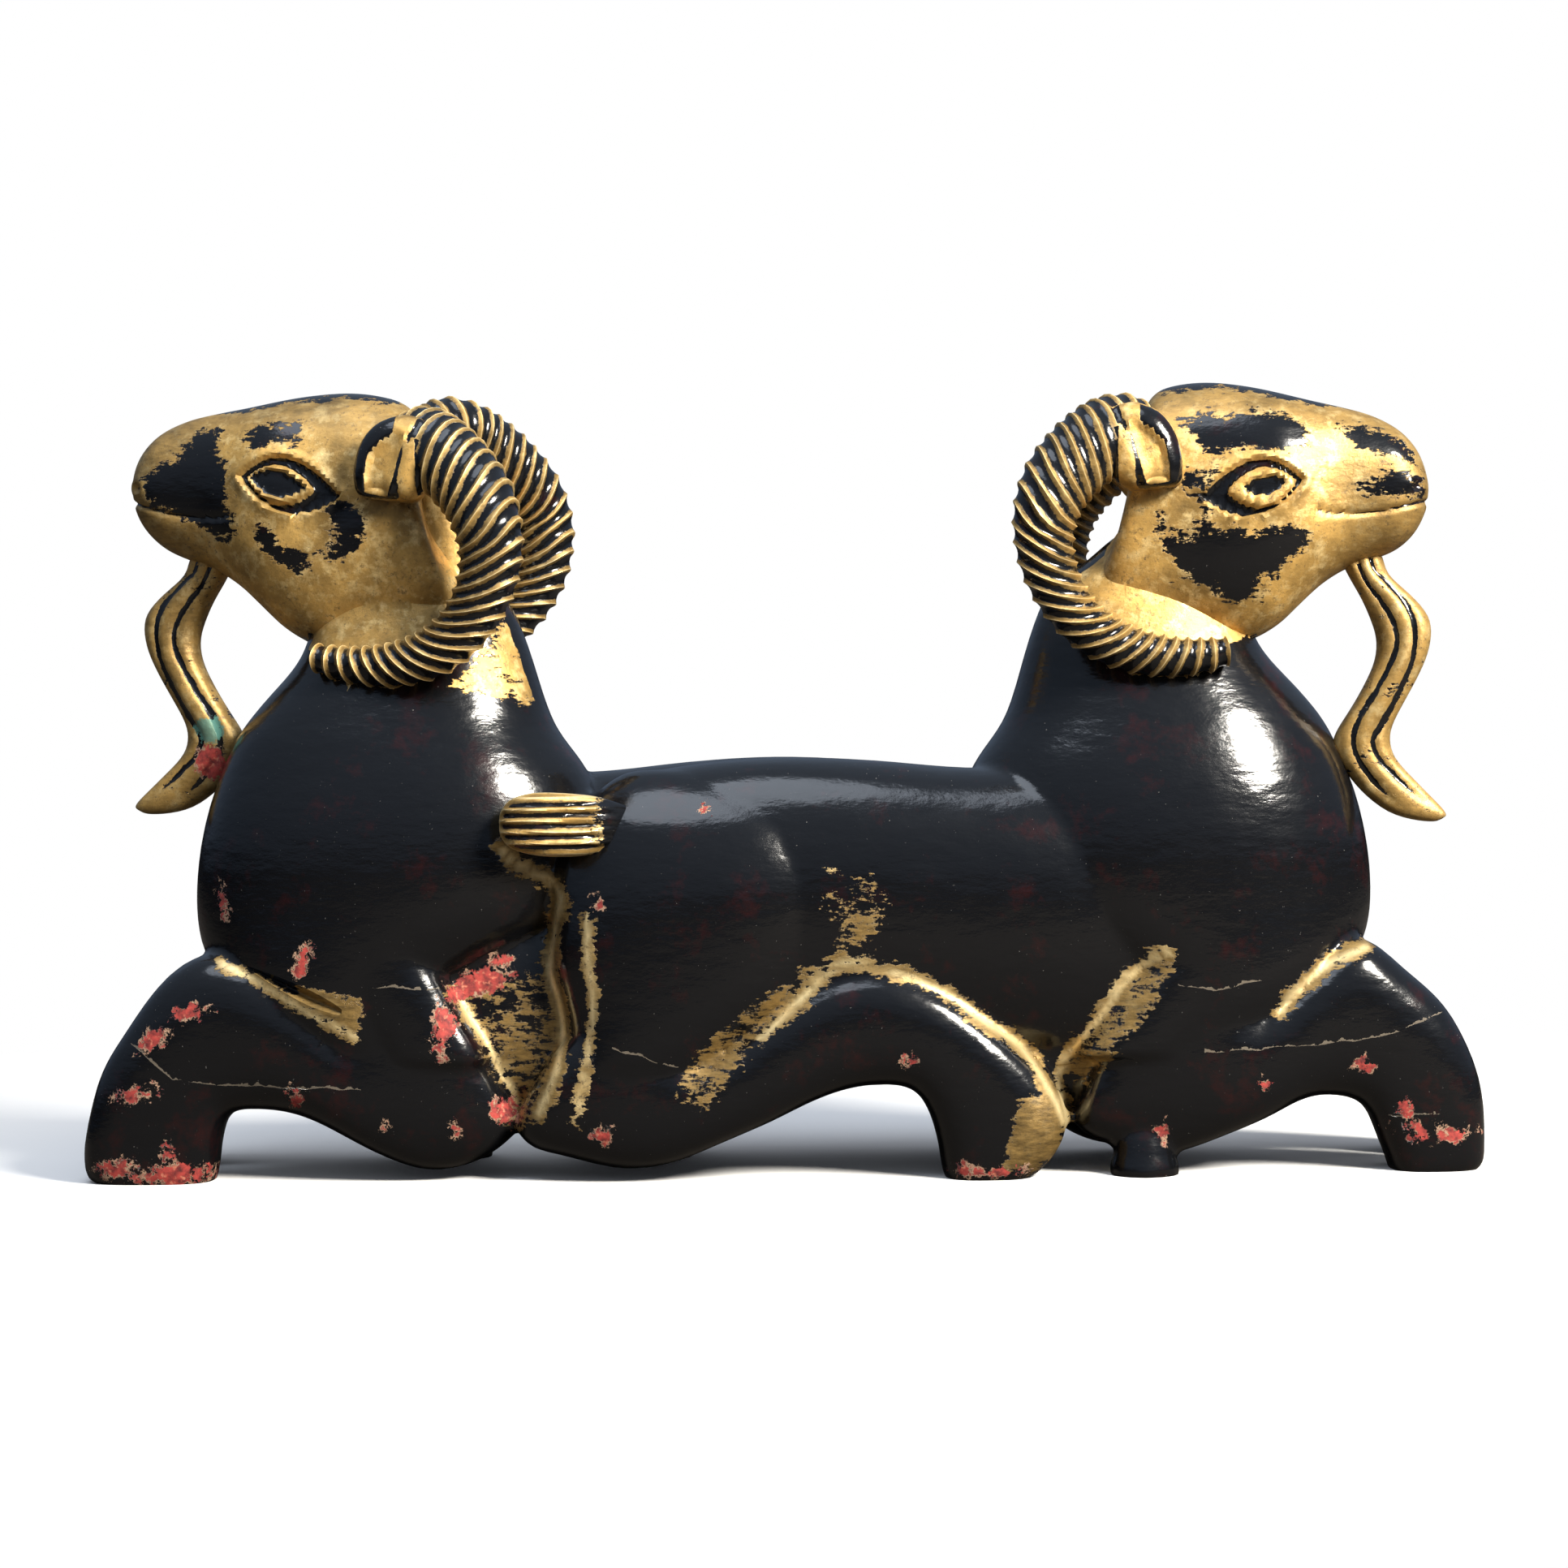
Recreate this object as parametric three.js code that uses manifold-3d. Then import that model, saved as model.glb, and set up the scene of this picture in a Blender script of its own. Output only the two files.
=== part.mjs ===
// A carved wooden group of two recumbent rams, side by side and head to tail, lacquered black and gilt.
// Millimetres, +Z up. The first ram faces +X and its body lies on the -Y side. The second ram is
// the first turned half round about the Z axis, with small differences of its own.
import * as THREE from 'three';
import { mergeVertices } from 'three/addons/utils/BufferGeometryUtils.js';
import Module from 'manifold-3d';

const wasm = await Module();
wasm.setup();

// Driving dimensions. x runs forward along a ram, z up from the ground, y is its depth.
// A ram's own right side is its -y side.
const HEAD_TURN = THREE.MathUtils.degToRad(6.6);
const NECK_AXIS_X = 165;
const HORN_SPREAD = 53;
const HORN_RIDGES = 18;
const HORN_RIDGE_DEPTH = 2;
const HORN_SWEEP = 11;
const GOUGE = 1.8;
const CURVE_SEGMENTS = 4;
const GROUND_CUT_DEPTH = 30;
const GROUND_CUT_SIDE = 700;

// The second ram holds its muzzle a little higher and has a slightly longer head. The hand work
// differs from leg to leg: a knee is lower, a hoof or foot stands a little along, a thigh is
// carved away higher, one horn sits higher and one beard hangs further back.
const RAMS = [
  {
    turn: 0,
    head: { rise: 0, stretch: 1, forward: 0 },
    kneeDrop: { right: 0, left: 9 },
    rightHornLift: 0,
    beardBack: 0,
    leftHoofHeel: 269,
    hindHoofShift: 0,
    thighFloor: 0,
    elbowFootShift: 0,
  },
  {
    turn: Math.PI,
    head: { rise: 0.085, stretch: 1.06, forward: -5 },
    kneeDrop: { right: 14, left: 0 },
    rightHornLift: 9,
    beardBack: 3,
    leftHoofHeel: 248,
    hindHoofShift: -27,
    thighFloor: 31,
    elbowFootShift: -6,
  },
];

// Neck and chest, as level sections: height, back of the neck, front of the chest, half depth.
const CHEST = [
  [26, 126, 196, 46],
  [46, 124, 212, 55],
  [64, 131, 228, 57.5],
  [80, 138, 244, 59],
  [97, 112, 256, 59.5],
  [115, 82, 260, 60],
  [138, 77, 259, 60],
  [160, 79, 254.5, 57.5],
  [178, 86, 248, 53],
  [194, 98, 240.5, 47.5],
  [209, 104, 228.5, 41.5],
  [226, 109, 213, 35.5],
  [242, 114.5, 207, 31],
  [254, 121, 203, 28],
  [266, 137, 198, 25],
  [280, 153, 188, 19],
];

// Barrel of the body from the rump to the chest: x, underside, back, half depth.
// It lies on the ram's own right.
const BARREL_Y = -21;
const BARREL = [
  [-99, 84, 128, 16],
  [-95, 66, 150, 29],
  [-86, 52, 164, 36],
  [-68, 45, 173, 40],
  [-40, 43, 179, 41],
  [0, 46, 181.7, 41],
  [40, 50, 180, 41],
  [80, 50, 176, 40],
  [125, 48, 174, 38],
  [170, 56, 158, 30],
];

// Belly core that carries both bodies: x, underside, top, half depth. It is the same both ways round.
const BELLY = [
  [-206, 62, 100, 30],
  [-180, 44, 112, 40],
  [-150, 28, 120, 43],
  [-122, 20, 122, 43],
  [-96, 30, 120, 42],
  [-60, 41, 118, 42],
  [0, 45, 118, 42],
];

// Haunch on the right side, as level sections: height, rear edge, front edge, outer depth.
const HAUNCH_INNER_Y = -12;
const HAUNCH = [
  [177, -64, -34, 36],
  [170, -76, -8, 47],
  [158, -86, 12, 58],
  [145, -90, 22, 64],
  [128, -93, 25.5, 68],
  [110, -97, 25, 69],
  [95, -98.5, 21, 69],
  [80, -95.5, 13, 69],
  [64, -92, -8, 68.5],
  [50, -95, -26, 67],
  [36, -100, -40, 62],
];

// Hind leg on the right side, as ribs from the rump to the hoof: underside x, z, upper edge x, z,
// inner and outer depth.
const THIGH = { from: -80, to: 62 };
const HOCK = { from: -20, to: 60 };
const HIND_LEG = [
  [-117, 25, -108, 40, 30, 50],
  [-109, 14, -93, 62, 20, 60],
  [-93, 10.5, -78, 72, 18, 64],
  [-71, 4.5, -62, 68, 18, 66],
  [-48, 6.5, -46, 58, 18, 66],
  [-25, 16, -34, 52, 18, 66],
  [-4, 24.5, -16, 64, 18, 66],
  [14, 33.5, 5, 79, 18, 66],
  [31, 39, 25, 90, 18, 66],
  [46, 40, 45, 92, 18, 66],
  [57, 38, 69, 84, 18, 66],
  [63, 29.5, 92, 67, 18, 65],
  [66.5, 18, 111, 49, 18, 64],
  [68, 9, 123, 31, 18, 63],
  [69, 2, 121, 13, 18, 62],
  [72, -5, 106, -3, 19, 60],
];

// A foreleg's heel begins where its underside passes HEEL, and its knee where its upper edge passes KNEE.
const HEEL = { from: 225, to: 246 };
const KNEE = { from: 240, to: 275, shin: 10, top: 50 };

// Right foreleg, from the elbow to the hoof: underside x, z, upper edge x, z, inner and outer depth.
const RIGHT_FORELEG = [
  [126, 24, 131, 36, 20, 44],
  [129, 18, 141, 58, 14, 50],
  [140, 12, 155, 78, 10, 54],
  [158, 8, 172, 94, 8, 56],
  [173, 8.5, 190, 100, 8, 57],
  [191, 15.5, 203, 72, 8, 57],
  [209, 22.5, 219, 77, 8, 56],
  [226, 31.5, 234, 91, 8, 55],
  [240, 32, 251, 102, 8, 54],
  [250, 29, 270, 86, 8, 53],
  [254.5, 22, 286, 72, 9, 52],
  [257, 15, 297, 52, 9, 51],
  [260, 8, 302.5, 34, 9, 50],
  [262, 2, 303.5, 14, 9, 49],
  [264, -5, 303, -3, 11, 47],
];

// Left foreleg, broader at the elbow: underside x, z, upper edge x, z, inner and outer depth.
const LEFT_FORELEG = [
  [113, 23, 119, 38, 20, 42],
  [120, 15.5, 132, 60, 14, 50],
  [131, 8, 146, 78, 10, 54],
  [145, 4, 160, 88, 8, 56],
  [160, 4.5, 176, 88, 8, 57],
  [181, 14, 189, 66, 8, 57],
  [199, 24, 203, 79, 8, 56],
  [214, 29.5, 222, 91.5, 8, 55],
  [229, 31, 246, 101, 8, 54],
  [240, 30, 268, 90, 8, 53],
  [244, 24, 285, 67, 9, 52],
  [246, 15, 297, 49, 9, 51],
  [247, 7, 303, 28, 9, 50],
  [248, 2, 306, 12, 9, 49],
  [250, -5, 304, -3, 11, 47],
];
const HEEL_OF_LEFT_FORELEG = 248;

// Notch between the chest and the foreleg: lower edge x, z, upper edge x, z, and the depth it leaves.
// It runs in from the front, and reaches less far on the ram's right.
const NOTCH = [
  [266, 86, 268, 112, 22],
  [250, 93, 254, 107, 36],
  [234, 91, 238, 102, 45],
  [219, 83, 220, 96, 50],
  [203, 74, 200, 88, 53.5],
  [188, 68, 184, 80, 57],
];
const NOTCH_OUTER_Y = 84;
const NOTCH_FRONT_X = 266;
const NOTCH_REACH = { right: 0.62, left: 1 };

// Small round foot under the right elbow: height and radius, standing at its own place.
const ELBOW_FOOT = {
  x: 156,
  y: -42,
  profile: [[0, -4], [14.5, -4], [15.5, 3], [13.5, 8], [12.5, 15], [0, 22]],
};

// Tail laid over the rump: x, underside, top, outer depth.
const TAIL_INNER_Y = -48;
const TAIL = [
  [-74, 142, 166, 60],
  [-84, 140.5, 167, 66],
  [-97, 140.5, 168, 71],
  [-107, 142, 167.5, 72],
  [-114.5, 145, 164.5, 69],
  [-118.5, 150, 159, 62],
];
const TAIL_GROOVES = {
  count: 4,
  top: 163.5,
  pitch: 5,
  line: [[-74, -61.5], [-88, -68], [-101, -71.5], [-111, -72]],
};

// Head, as ribs from the cheek to the muzzle: jaw x, z, crown x, z, half width.
const HEAD = [
  [135, 251, 148, 274, 14],
  [138, 244, 158, 289, 24],
  [144, 238.5, 160, 310, 30],
  [153, 234.5, 163, 330, 33.5],
  [166, 231.5, 168, 339, 35],
  [183, 229.5, 177, 342.5, 35.5],
  [203, 228, 191, 343.5, 36],
  [219, 235, 207, 341.5, 36],
  [230, 245, 221, 338.3, 34.5],
  [240, 254, 235, 334.5, 30],
  [251, 260.5, 249, 331, 25.5],
  [262, 264, 262, 327, 23.5],
  [271, 267.5, 273.5, 320.5, 22.5],
  [277.5, 272.5, 281, 312, 19.5],
  [282, 278.5, 284.7, 303, 14.5],
  [285.3, 286, 286.3, 295, 6],
];

// Mouth line on one side, as points on the muzzle, mirrored for the other side.
const MOUTH = [[241, 29.5, 282], [258, 24.4, 283], [274, 20.5, 284], [283.5, 12, 284.8], [286.4, 0, 285]];

// Eye: an almond cut round with a wide groove, and a smaller almond sunk in it for the pupil.
const EYE = { rear: [191.5, 291.5], front: [234.5, 298], upper: [213, 316.5], lower: [215, 272] };
const EYE_LID = { rear: [201, 293], front: [230, 297.2], upper: [214, 310], lower: [216, 278] };
const PUPIL = { rear: [207, 294.2], front: [225.5, 297], upper: [215, 303], lower: [217, 287] };
const EYE_FLOOR_Y = 31.6;
const PUPIL_FLOOR_Y = 32.4;
const EYE_CUT_OUTER_Y = 60;

// Ear: a drooping leaf that stands out from the head in front of the horn, hollow at its front.
const EAR = [[149, 329], [166, 331], [180, 315], [178, 296], [158, 292.5], [145.5, 310]];
const EAR_HOLLOW = [[160, 326.5], [172, 318], [175, 303], [166, 296], [167, 310]];
const EAR_DEPTH = [30, 47];
const EAR_BEVEL = 3;
const EAR_HOLLOW_FLOOR_Y = 45;

// Horn: middle line x, y, z of the right horn and its radius in the plane of the curl and across it.
const HORN = [
  [166, -22, 329, 12, 10],
  [157, -29, 324.5, 16.5, 12],
  [147, -37, 317, 17.5, 13],
  [136, -44, 308.5, 17.5, 13.5],
  [126.8, -49.5, 298, 16.4, 13.8],
  [122, -HORN_SPREAD, 286, 15, 13.8],
  [120.8, -HORN_SPREAD, 274, 13.8, 13.5],
  [122.7, -53, 262, 12.6, 13],
  [128, -52, 250, 11.8, 12.5],
  [136.5, -50, 238.5, 11.4, 12],
  [148, -47, 229.5, 11, 11.5],
  [162, -43.5, 224, 10.2, 11],
  [176, -40.5, 222, 9.2, 10],
  [188.5, -38, 222.5, 8.2, 9],
  [199, -36, 224.5, 6.8, 7.5],
];

// Beard: outer edge x, z, inner edge x, z, half thickness.
const BEARD = [
  [266, 268, 247, 266, 9],
  [268, 258, 251.5, 256.5, 9.5],
  [277, 249.5, 256.5, 247.5, 9.5],
  [285.2, 240, 260.5, 238, 9.5],
  [286.8, 231.5, 263, 229, 9.5],
  [285, 222, 262, 219.5, 9.5],
  [280.5, 212, 257.5, 209.5, 9.5],
  [275, 202, 251.5, 199, 9.5],
  [269.5, 191.5, 245, 189, 9],
  [268.5, 184, 243.5, 181.5, 8.5],
  [271, 176.5, 249, 171.5, 8],
  [279, 167.5, 256.5, 162, 7],
  [287, 159, 268, 153, 6],
  [291.5, 154, 281, 149.5, 4.5],
  [292.5, 151.5, 288.5, 149.2, 2.5],
];

const lacquer = new THREE.MeshStandardMaterial({ color: 0x14120f, roughness: 0.22, metalness: 0.0 });

// A closed geometry as a solid. Only positions are kept, and a shape that is inside out is turned.
function solid(geometry) {
  let shape = geometry.clone();
  shape.deleteAttribute('normal');
  shape.deleteAttribute('uv');
  shape = mergeVertices(shape, 1e-4);
  const points = shape.getAttribute('position');
  const index = Array.from(shape.index.array);
  const corner = [0, 1, 2].map(() => new THREE.Vector3());
  let volume = 0;
  for (let i = 0; i < index.length; i += 3) {
    corner.forEach((v, k) => v.fromBufferAttribute(points, index[i + k]));
    volume += corner[0].dot(corner[1].cross(corner[2]));
  }
  const triangles = [];
  for (let i = 0; i < index.length; i += 3) {
    const [a, b, c] = index.slice(i, i + 3);
    if (a === b || b === c || c === a) continue;
    triangles.push(...(volume < 0 ? [a, c, b] : [a, b, c]));
  }
  const mesh = new wasm.Mesh({
    numProp: 3,
    vertProperties: new Float32Array(points.array),
    triVerts: new Uint32Array(triangles),
  });
  return new wasm.Manifold(mesh);
}

// A solid back as a geometry.
function geometryOf(manifold) {
  const mesh = manifold.getMesh();
  const geometry = new THREE.BufferGeometry();
  geometry.setAttribute('position', new THREE.BufferAttribute(new Float32Array(mesh.vertProperties), 3));
  geometry.setIndex(new THREE.BufferAttribute(new Uint32Array(mesh.triVerts), 1));
  geometry.computeVertexNormals();
  return geometry;
}

// Rounded squareness: 2 is an ellipse, more is boxier.
function squared(value, squareness) {
  return Math.sign(value) * Math.abs(value) ** (2 / squareness);
}

// A mass lofted through ribs. A rib is a pair of opposite points and its two depths in y.
// Each cross-section is a rounded oval that touches both points and both depths.
function loft(ribs, sides, rings, squareness) {
  const low = new THREE.CatmullRomCurve3(ribs.map((r) => new THREE.Vector3(r.from[0], r.y[0], r.from[1])));
  const high = new THREE.CatmullRomCurve3(ribs.map((r) => new THREE.Vector3(r.to[0], r.y[1], r.to[1])));
  const geometry = new THREE.CylinderGeometry(1, 1, 1, sides, rings);
  const points = geometry.getAttribute('position');
  const p = new THREE.Vector3();
  for (let i = 0; i < points.count; i += 1) {
    p.fromBufferAttribute(points, i);
    const t = Math.min(Math.max(p.y + 0.5, 0), 1);
    const a = low.getPoint(t);
    const b = high.getPoint(t);
    const across = squared(p.x, squareness);
    const deep = squared(p.z, squareness);
    points.setXYZ(
      i,
      (a.x + b.x) / 2 + (across * (b.x - a.x)) / 2,
      (a.y + b.y) / 2 + (deep * (b.y - a.y)) / 2,
      (a.z + b.z) / 2 + (across * (b.z - a.z)) / 2,
    );
  }
  return geometry;
}

// A level section, from a height and two x places.
const level = (z, back, front, y) => ({ from: [back, z], to: [front, z], y });

// An upright section, from an x place and two heights.
const upright = (x, under, top, y) => ({ from: [x, under], to: [x, top], y });

// The depths of a limb on one side. side is -1 on the ram's right and 1 on its left.
const sided = (side, inner, outer) => [side * inner, side * outer];

// A V-shaped groove cut along points that lie on the surface.
function gouge(points) {
  const path = new THREE.CatmullRomCurve3(points.map((p) => new THREE.Vector3(...p)));
  const corners = [[GOUGE, 0], [0, GOUGE], [-GOUGE, 0], [0, -GOUGE]];
  const section = new THREE.Shape(corners.map((c) => new THREE.Vector2(...c)));
  return new THREE.ExtrudeGeometry(section, { steps: points.length - 1, extrudePath: path });
}

// A plate whose outline lies in the xz plane, from one depth to another, with rounded rims.
function plate(shape, side, depths, bevel) {
  const thickness = depths[1] - depths[0] - bevel;
  const geometry = new THREE.ExtrudeGeometry(shape, {
    depth: thickness,
    curveSegments: CURVE_SEGMENTS,
    bevelEnabled: bevel > 0,
    bevelThickness: bevel,
    bevelSize: bevel,
    bevelOffset: -bevel,
    bevelSegments: 1,
  });
  // The shape's own plane is turned upright, its thickness pointing outward on the side asked for.
  const standing = [1, 0, 0, 0, 0, 0, side, side * depths[0], 0, 1, 0, 0, 0, 0, 0, 1];
  geometry.applyMatrix4(new THREE.Matrix4().set(...standing));
  return geometry;
}

// A smooth closed outline through points, with a point of its own between each two.
function outline(points) {
  const curve = new THREE.SplineCurve([...points, points[0]].map((p) => new THREE.Vector2(...p)));
  return new THREE.Shape(curve.getPoints(points.length * 2).slice(0, -1));
}

// An almond between two corners, bowed through an upper and a lower point.
function almond({ rear, front, upper, lower }) {
  const shape = new THREE.Shape();
  shape.moveTo(...rear);
  shape.quadraticCurveTo(...upper, ...front);
  shape.quadraticCurveTo(...lower, ...rear);
  return shape;
}

function neckAndChest() {
  const ribs = CHEST.map(([z, back, front, half]) => level(z, back, front, [-half, half]));
  return loft(ribs, 14, 12, 2.25);
}

function barrel() {
  const ribs = BARREL.map(([x, under, top, half]) =>
    upright(x, under, top, [BARREL_Y - half, BARREL_Y + half]));
  return loft(ribs, 12, 6, 2.3);
}

function belly() {
  const rib = ([x, under, top, depth], end) => upright(end * x, under, top, [-depth, depth]);
  const half = BELLY.map((row) => rib(row, 1));
  const other = BELLY.slice(0, -1).reverse().map((row) => rib(row, -1));
  return loft([...half, ...other], 8, 8, 2.6);
}

function haunch() {
  const ribs = HAUNCH.map(([z, rear, front, outer]) => level(z, rear, front, [-outer, HAUNCH_INNER_Y]));
  return loft(ribs, 12, 7, 2.4);
}

function hindLeg({ hindHoofShift, thighFloor }) {
  const moved = (x) => x + hindHoofShift * THREE.MathUtils.smoothstep(x, HOCK.from, HOCK.to);
  const ribs = HIND_LEG.map(([x0, z0, x1, z1, inner, outer]) => {
    const lifted = x0 > THIGH.from && x0 < THIGH.to ? Math.max(z0, thighFloor) : z0;
    return { from: [moved(x0), lifted], to: [moved(x1), z1], y: sided(-1, inner, outer) };
  });
  return loft(ribs, 12, 11, 2.6);
}

function foreleg(table, side, heelShift, kneeDrop) {
  const ribs = table.map(([x0, z0, x1, z1, inner, outer]) => {
    const shift = heelShift * THREE.MathUtils.smoothstep(x0, HEEL.from, HEEL.to);
    const forward = THREE.MathUtils.smoothstep(x1, KNEE.from, KNEE.to);
    const drop = kneeDrop * forward * THREE.MathUtils.smoothstep(z1, KNEE.shin, KNEE.top);
    return { from: [x0 + shift, z0], to: [x1, z1 - drop], y: sided(side, inner, outer) };
  });
  return loft(ribs, 12, 9, 2.6);
}

function notch(side, reach) {
  const along = (x) => NOTCH_FRONT_X + (x - NOTCH_FRONT_X) * reach;
  const ribs = NOTCH.map(([x0, z0, x1, z1, inner]) => ({
    from: [along(x0), z0],
    to: [along(x1), z1],
    y: sided(side, inner, NOTCH_OUTER_Y),
  }));
  return loft(ribs, 8, 4, 2);
}

function elbowFoot(shift) {
  const profile = ELBOW_FOOT.profile.map(([radius, height]) => new THREE.Vector2(radius, height));
  const geometry = new THREE.LatheGeometry(profile, 10);
  geometry.rotateX(Math.PI / 2);
  geometry.translate(ELBOW_FOOT.x + shift, ELBOW_FOOT.y, 0);
  return geometry;
}

function tail() {
  const ribs = TAIL.map(([x, under, top, outer]) => upright(x, under, top, [-outer, TAIL_INNER_Y]));
  return loft(ribs, 8, 5, 2.5);
}

function tailGrooves() {
  return Array.from({ length: TAIL_GROOVES.count }, (_, k) => {
    const z = TAIL_GROOVES.top - k * TAIL_GROOVES.pitch;
    return gouge(TAIL_GROOVES.line.map(([x, y]) => [x, y, z]));
  });
}

function headMass() {
  const ribs = HEAD.map(([x0, z0, x1, z1, half]) => ({ from: [x0, z0], to: [x1, z1], y: [-half, half] }));
  return loft(ribs, 16, 12, 2.35);
}

function beard() {
  const ribs = BEARD.map(([x0, z0, x1, z1, half]) => ({ from: [x1, z1], to: [x0, z0], y: [-half, half] }));
  return loft(ribs, 8, 10, 2.2);
}

// A horn is a ridged tube along its middle line. Each ridge is swept back towards the root on the
// outside of the curl.
function horn(side) {
  const middle = new THREE.CatmullRomCurve3(HORN.map(([x, y, z]) => new THREE.Vector3(x, -side * y, z)));
  const radii = new THREE.CatmullRomCurve3(
    HORN.map(([, , , inPlane, across]) => new THREE.Vector3(inPlane, across, 0)));
  const length = middle.getLength();
  const rings = 2 * HORN_RIDGES;
  const geometry = new THREE.CylinderGeometry(1, 1, 1, 6, rings, false, Math.PI / 2);
  const points = geometry.getAttribute('position');
  const p = new THREE.Vector3();
  const outward = new THREE.Vector3();
  const sideways = new THREE.Vector3();
  for (let i = 0; i < points.count; i += 1) {
    p.fromBufferAttribute(points, i);
    const t = Math.min(Math.max(p.y + 0.5, 0), 1);
    const ridge = Math.round(t * rings) % 2 === 1 ? 0 : -HORN_RIDGE_DEPTH;
    const fade = Math.sin(Math.PI * Math.min(Math.max(t, 0.03), 0.97));
    const swept = THREE.MathUtils.clamp(t - (p.x * HORN_SWEEP * fade) / length, 0, 1);
    const centre = middle.getPoint(swept);
    const tangent = middle.getTangent(swept);
    const radius = radii.getPoint(t);
    outward.set(tangent.z, 0, -tangent.x).normalize();
    sideways.crossVectors(tangent, outward).normalize();
    const inPlane = p.x * (radius.x + ridge);
    const across = p.z * (radius.y + ridge);
    points.setXYZ(
      i,
      centre.x + outward.x * inPlane + sideways.x * across,
      centre.y + outward.y * inPlane + sideways.y * across,
      centre.z + outward.z * inPlane + sideways.z * across,
    );
  }
  return geometry;
}

const ear = (side) => plate(outline(EAR), side, EAR_DEPTH, EAR_BEVEL);

const earHollow = (side) => plate(outline(EAR_HOLLOW), side, [EAR_HOLLOW_FLOOR_Y, EYE_CUT_OUTER_Y], 0);

// The cut that leaves an eye standing: a wide groove round the lids, and the sunk pupil.
function eyeCut(side) {
  const groove = solid(plate(almond(EYE), side, [EYE_FLOOR_Y, EYE_CUT_OUTER_Y], 0));
  const lids = solid(plate(almond(EYE_LID), side, [0, 2 * EYE_CUT_OUTER_Y], 0));
  const pupil = solid(plate(almond(PUPIL), side, [PUPIL_FLOOR_Y, EYE_CUT_OUTER_Y], 0));
  return groove.subtract(lids).add(pupil);
}

function mouth() {
  const right = MOUTH.map(([x, y, z]) => [x, -y, z]);
  const left = MOUTH.slice(0, -1).reverse();
  return gouge([...right, ...left]);
}

const joined = (geometries) => wasm.Manifold.union(geometries.map(solid));

function head({ rightHornLift, beardBack }) {
  const cuts = [mouth(), earHollow(-1), earHollow(1)];
  const carved = joined([headMass(), ear(-1), ear(1)])
    .subtract(joined(cuts))
    .subtract(eyeCut(-1).add(eyeCut(1)));
  const tuft = beard().translate(-beardBack, 0, 0);
  const rightHorn = horn(-1).translate(0, 0, rightHornLift);
  return wasm.Manifold.union([carved, joined([tuft, rightHorn, horn(1)])]);
}

// The head is set on the neck: raised towards the muzzle, drawn out along it, and turned to the
// ram's own right.
function placedHead(own) {
  const { rise, stretch, forward } = own.head;
  const matrix = new THREE.Matrix4()
    .makeTranslation(NECK_AXIS_X + forward, 0, 0)
    .multiply(new THREE.Matrix4().makeRotationZ(-HEAD_TURN))
    .multiply(new THREE.Matrix4().makeScale(stretch, 1, 1))
    .multiply(new THREE.Matrix4().makeShear(0, rise, 0, 0, 0, 0))
    .multiply(new THREE.Matrix4().makeTranslation(-NECK_AXIS_X, 0, 0));
  return head(own).transform(matrix.toArray());
}

function ram(own) {
  const body = joined([
    neckAndChest(),
    barrel(),
    haunch(),
    hindLeg(own),
    foreleg(RIGHT_FORELEG, -1, 0, own.kneeDrop.right),
    foreleg(LEFT_FORELEG, 1, own.leftHoofHeel - HEEL_OF_LEFT_FORELEG, own.kneeDrop.left),
    elbowFoot(own.elbowFootShift),
  ]).subtract(joined([notch(-1, NOTCH_REACH.right), notch(1, NOTCH_REACH.left)]));
  const laidTail = solid(tail()).subtract(joined(tailGrooves()));
  const whole = wasm.Manifold.union([body, laidTail, placedHead(own)]);
  return whole.transform(new THREE.Matrix4().makeRotationZ(own.turn).toArray());
}

// The ground plane cuts the hooves, elbows and rumps flat, so that the carving stands.
function ground() {
  const geometry = new THREE.BoxGeometry(GROUND_CUT_SIDE, GROUND_CUT_SIDE, GROUND_CUT_DEPTH);
  geometry.translate(0, 0, -GROUND_CUT_DEPTH / 2);
  return solid(geometry);
}

const carving = wasm.Manifold.union([solid(belly()), ...RAMS.map(ram)]).subtract(ground());

const mesh = new THREE.Mesh(geometryOf(carving), lacquer);
mesh.name = 'double_ram_carving';

const group = new THREE.Group();
group.add(mesh);

export default group;
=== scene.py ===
"""Double ram carving: two recumbent rams of one block of wood, lacquered black and gilt.

Run as a script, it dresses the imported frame. Sizes in the tables are millimetres, x forward along a ram,
z up from the ground, y its depth; a ram's own right side is its -y side. The first ram faces +X.
"""
import math

import bpy
import numpy as np
from bpy.props import FloatProperty, FloatVectorProperty, IntProperty, PointerProperty
from mathutils import Matrix, Vector
from mathutils.kdtree import KDTree


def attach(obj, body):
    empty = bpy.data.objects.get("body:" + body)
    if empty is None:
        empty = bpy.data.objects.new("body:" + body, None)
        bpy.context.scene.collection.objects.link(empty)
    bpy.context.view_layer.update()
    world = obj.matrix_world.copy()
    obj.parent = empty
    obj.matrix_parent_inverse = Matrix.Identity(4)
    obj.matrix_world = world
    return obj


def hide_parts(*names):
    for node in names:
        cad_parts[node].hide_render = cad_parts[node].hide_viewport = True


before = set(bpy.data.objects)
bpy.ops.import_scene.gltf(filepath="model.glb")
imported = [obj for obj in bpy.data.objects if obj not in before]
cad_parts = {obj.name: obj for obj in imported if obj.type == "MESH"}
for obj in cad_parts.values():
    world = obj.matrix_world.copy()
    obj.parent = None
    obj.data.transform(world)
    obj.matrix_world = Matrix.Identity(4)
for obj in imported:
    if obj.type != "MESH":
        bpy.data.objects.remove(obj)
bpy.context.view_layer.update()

bl_info = {
    "name": "Double ram carving",
    "version": (1, 0, 0),
    "blender": (4, 5, 0),
    "location": "3D View > Sidebar > Carving",
    "description": "Carves and finishes a lacquered and gilt group of two recumbent rams",
    "category": "Object",
}

MM = 0.001
BODY_TRIANGLES = 92000
CAD_NODE = "double_ram_carving"

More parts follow.
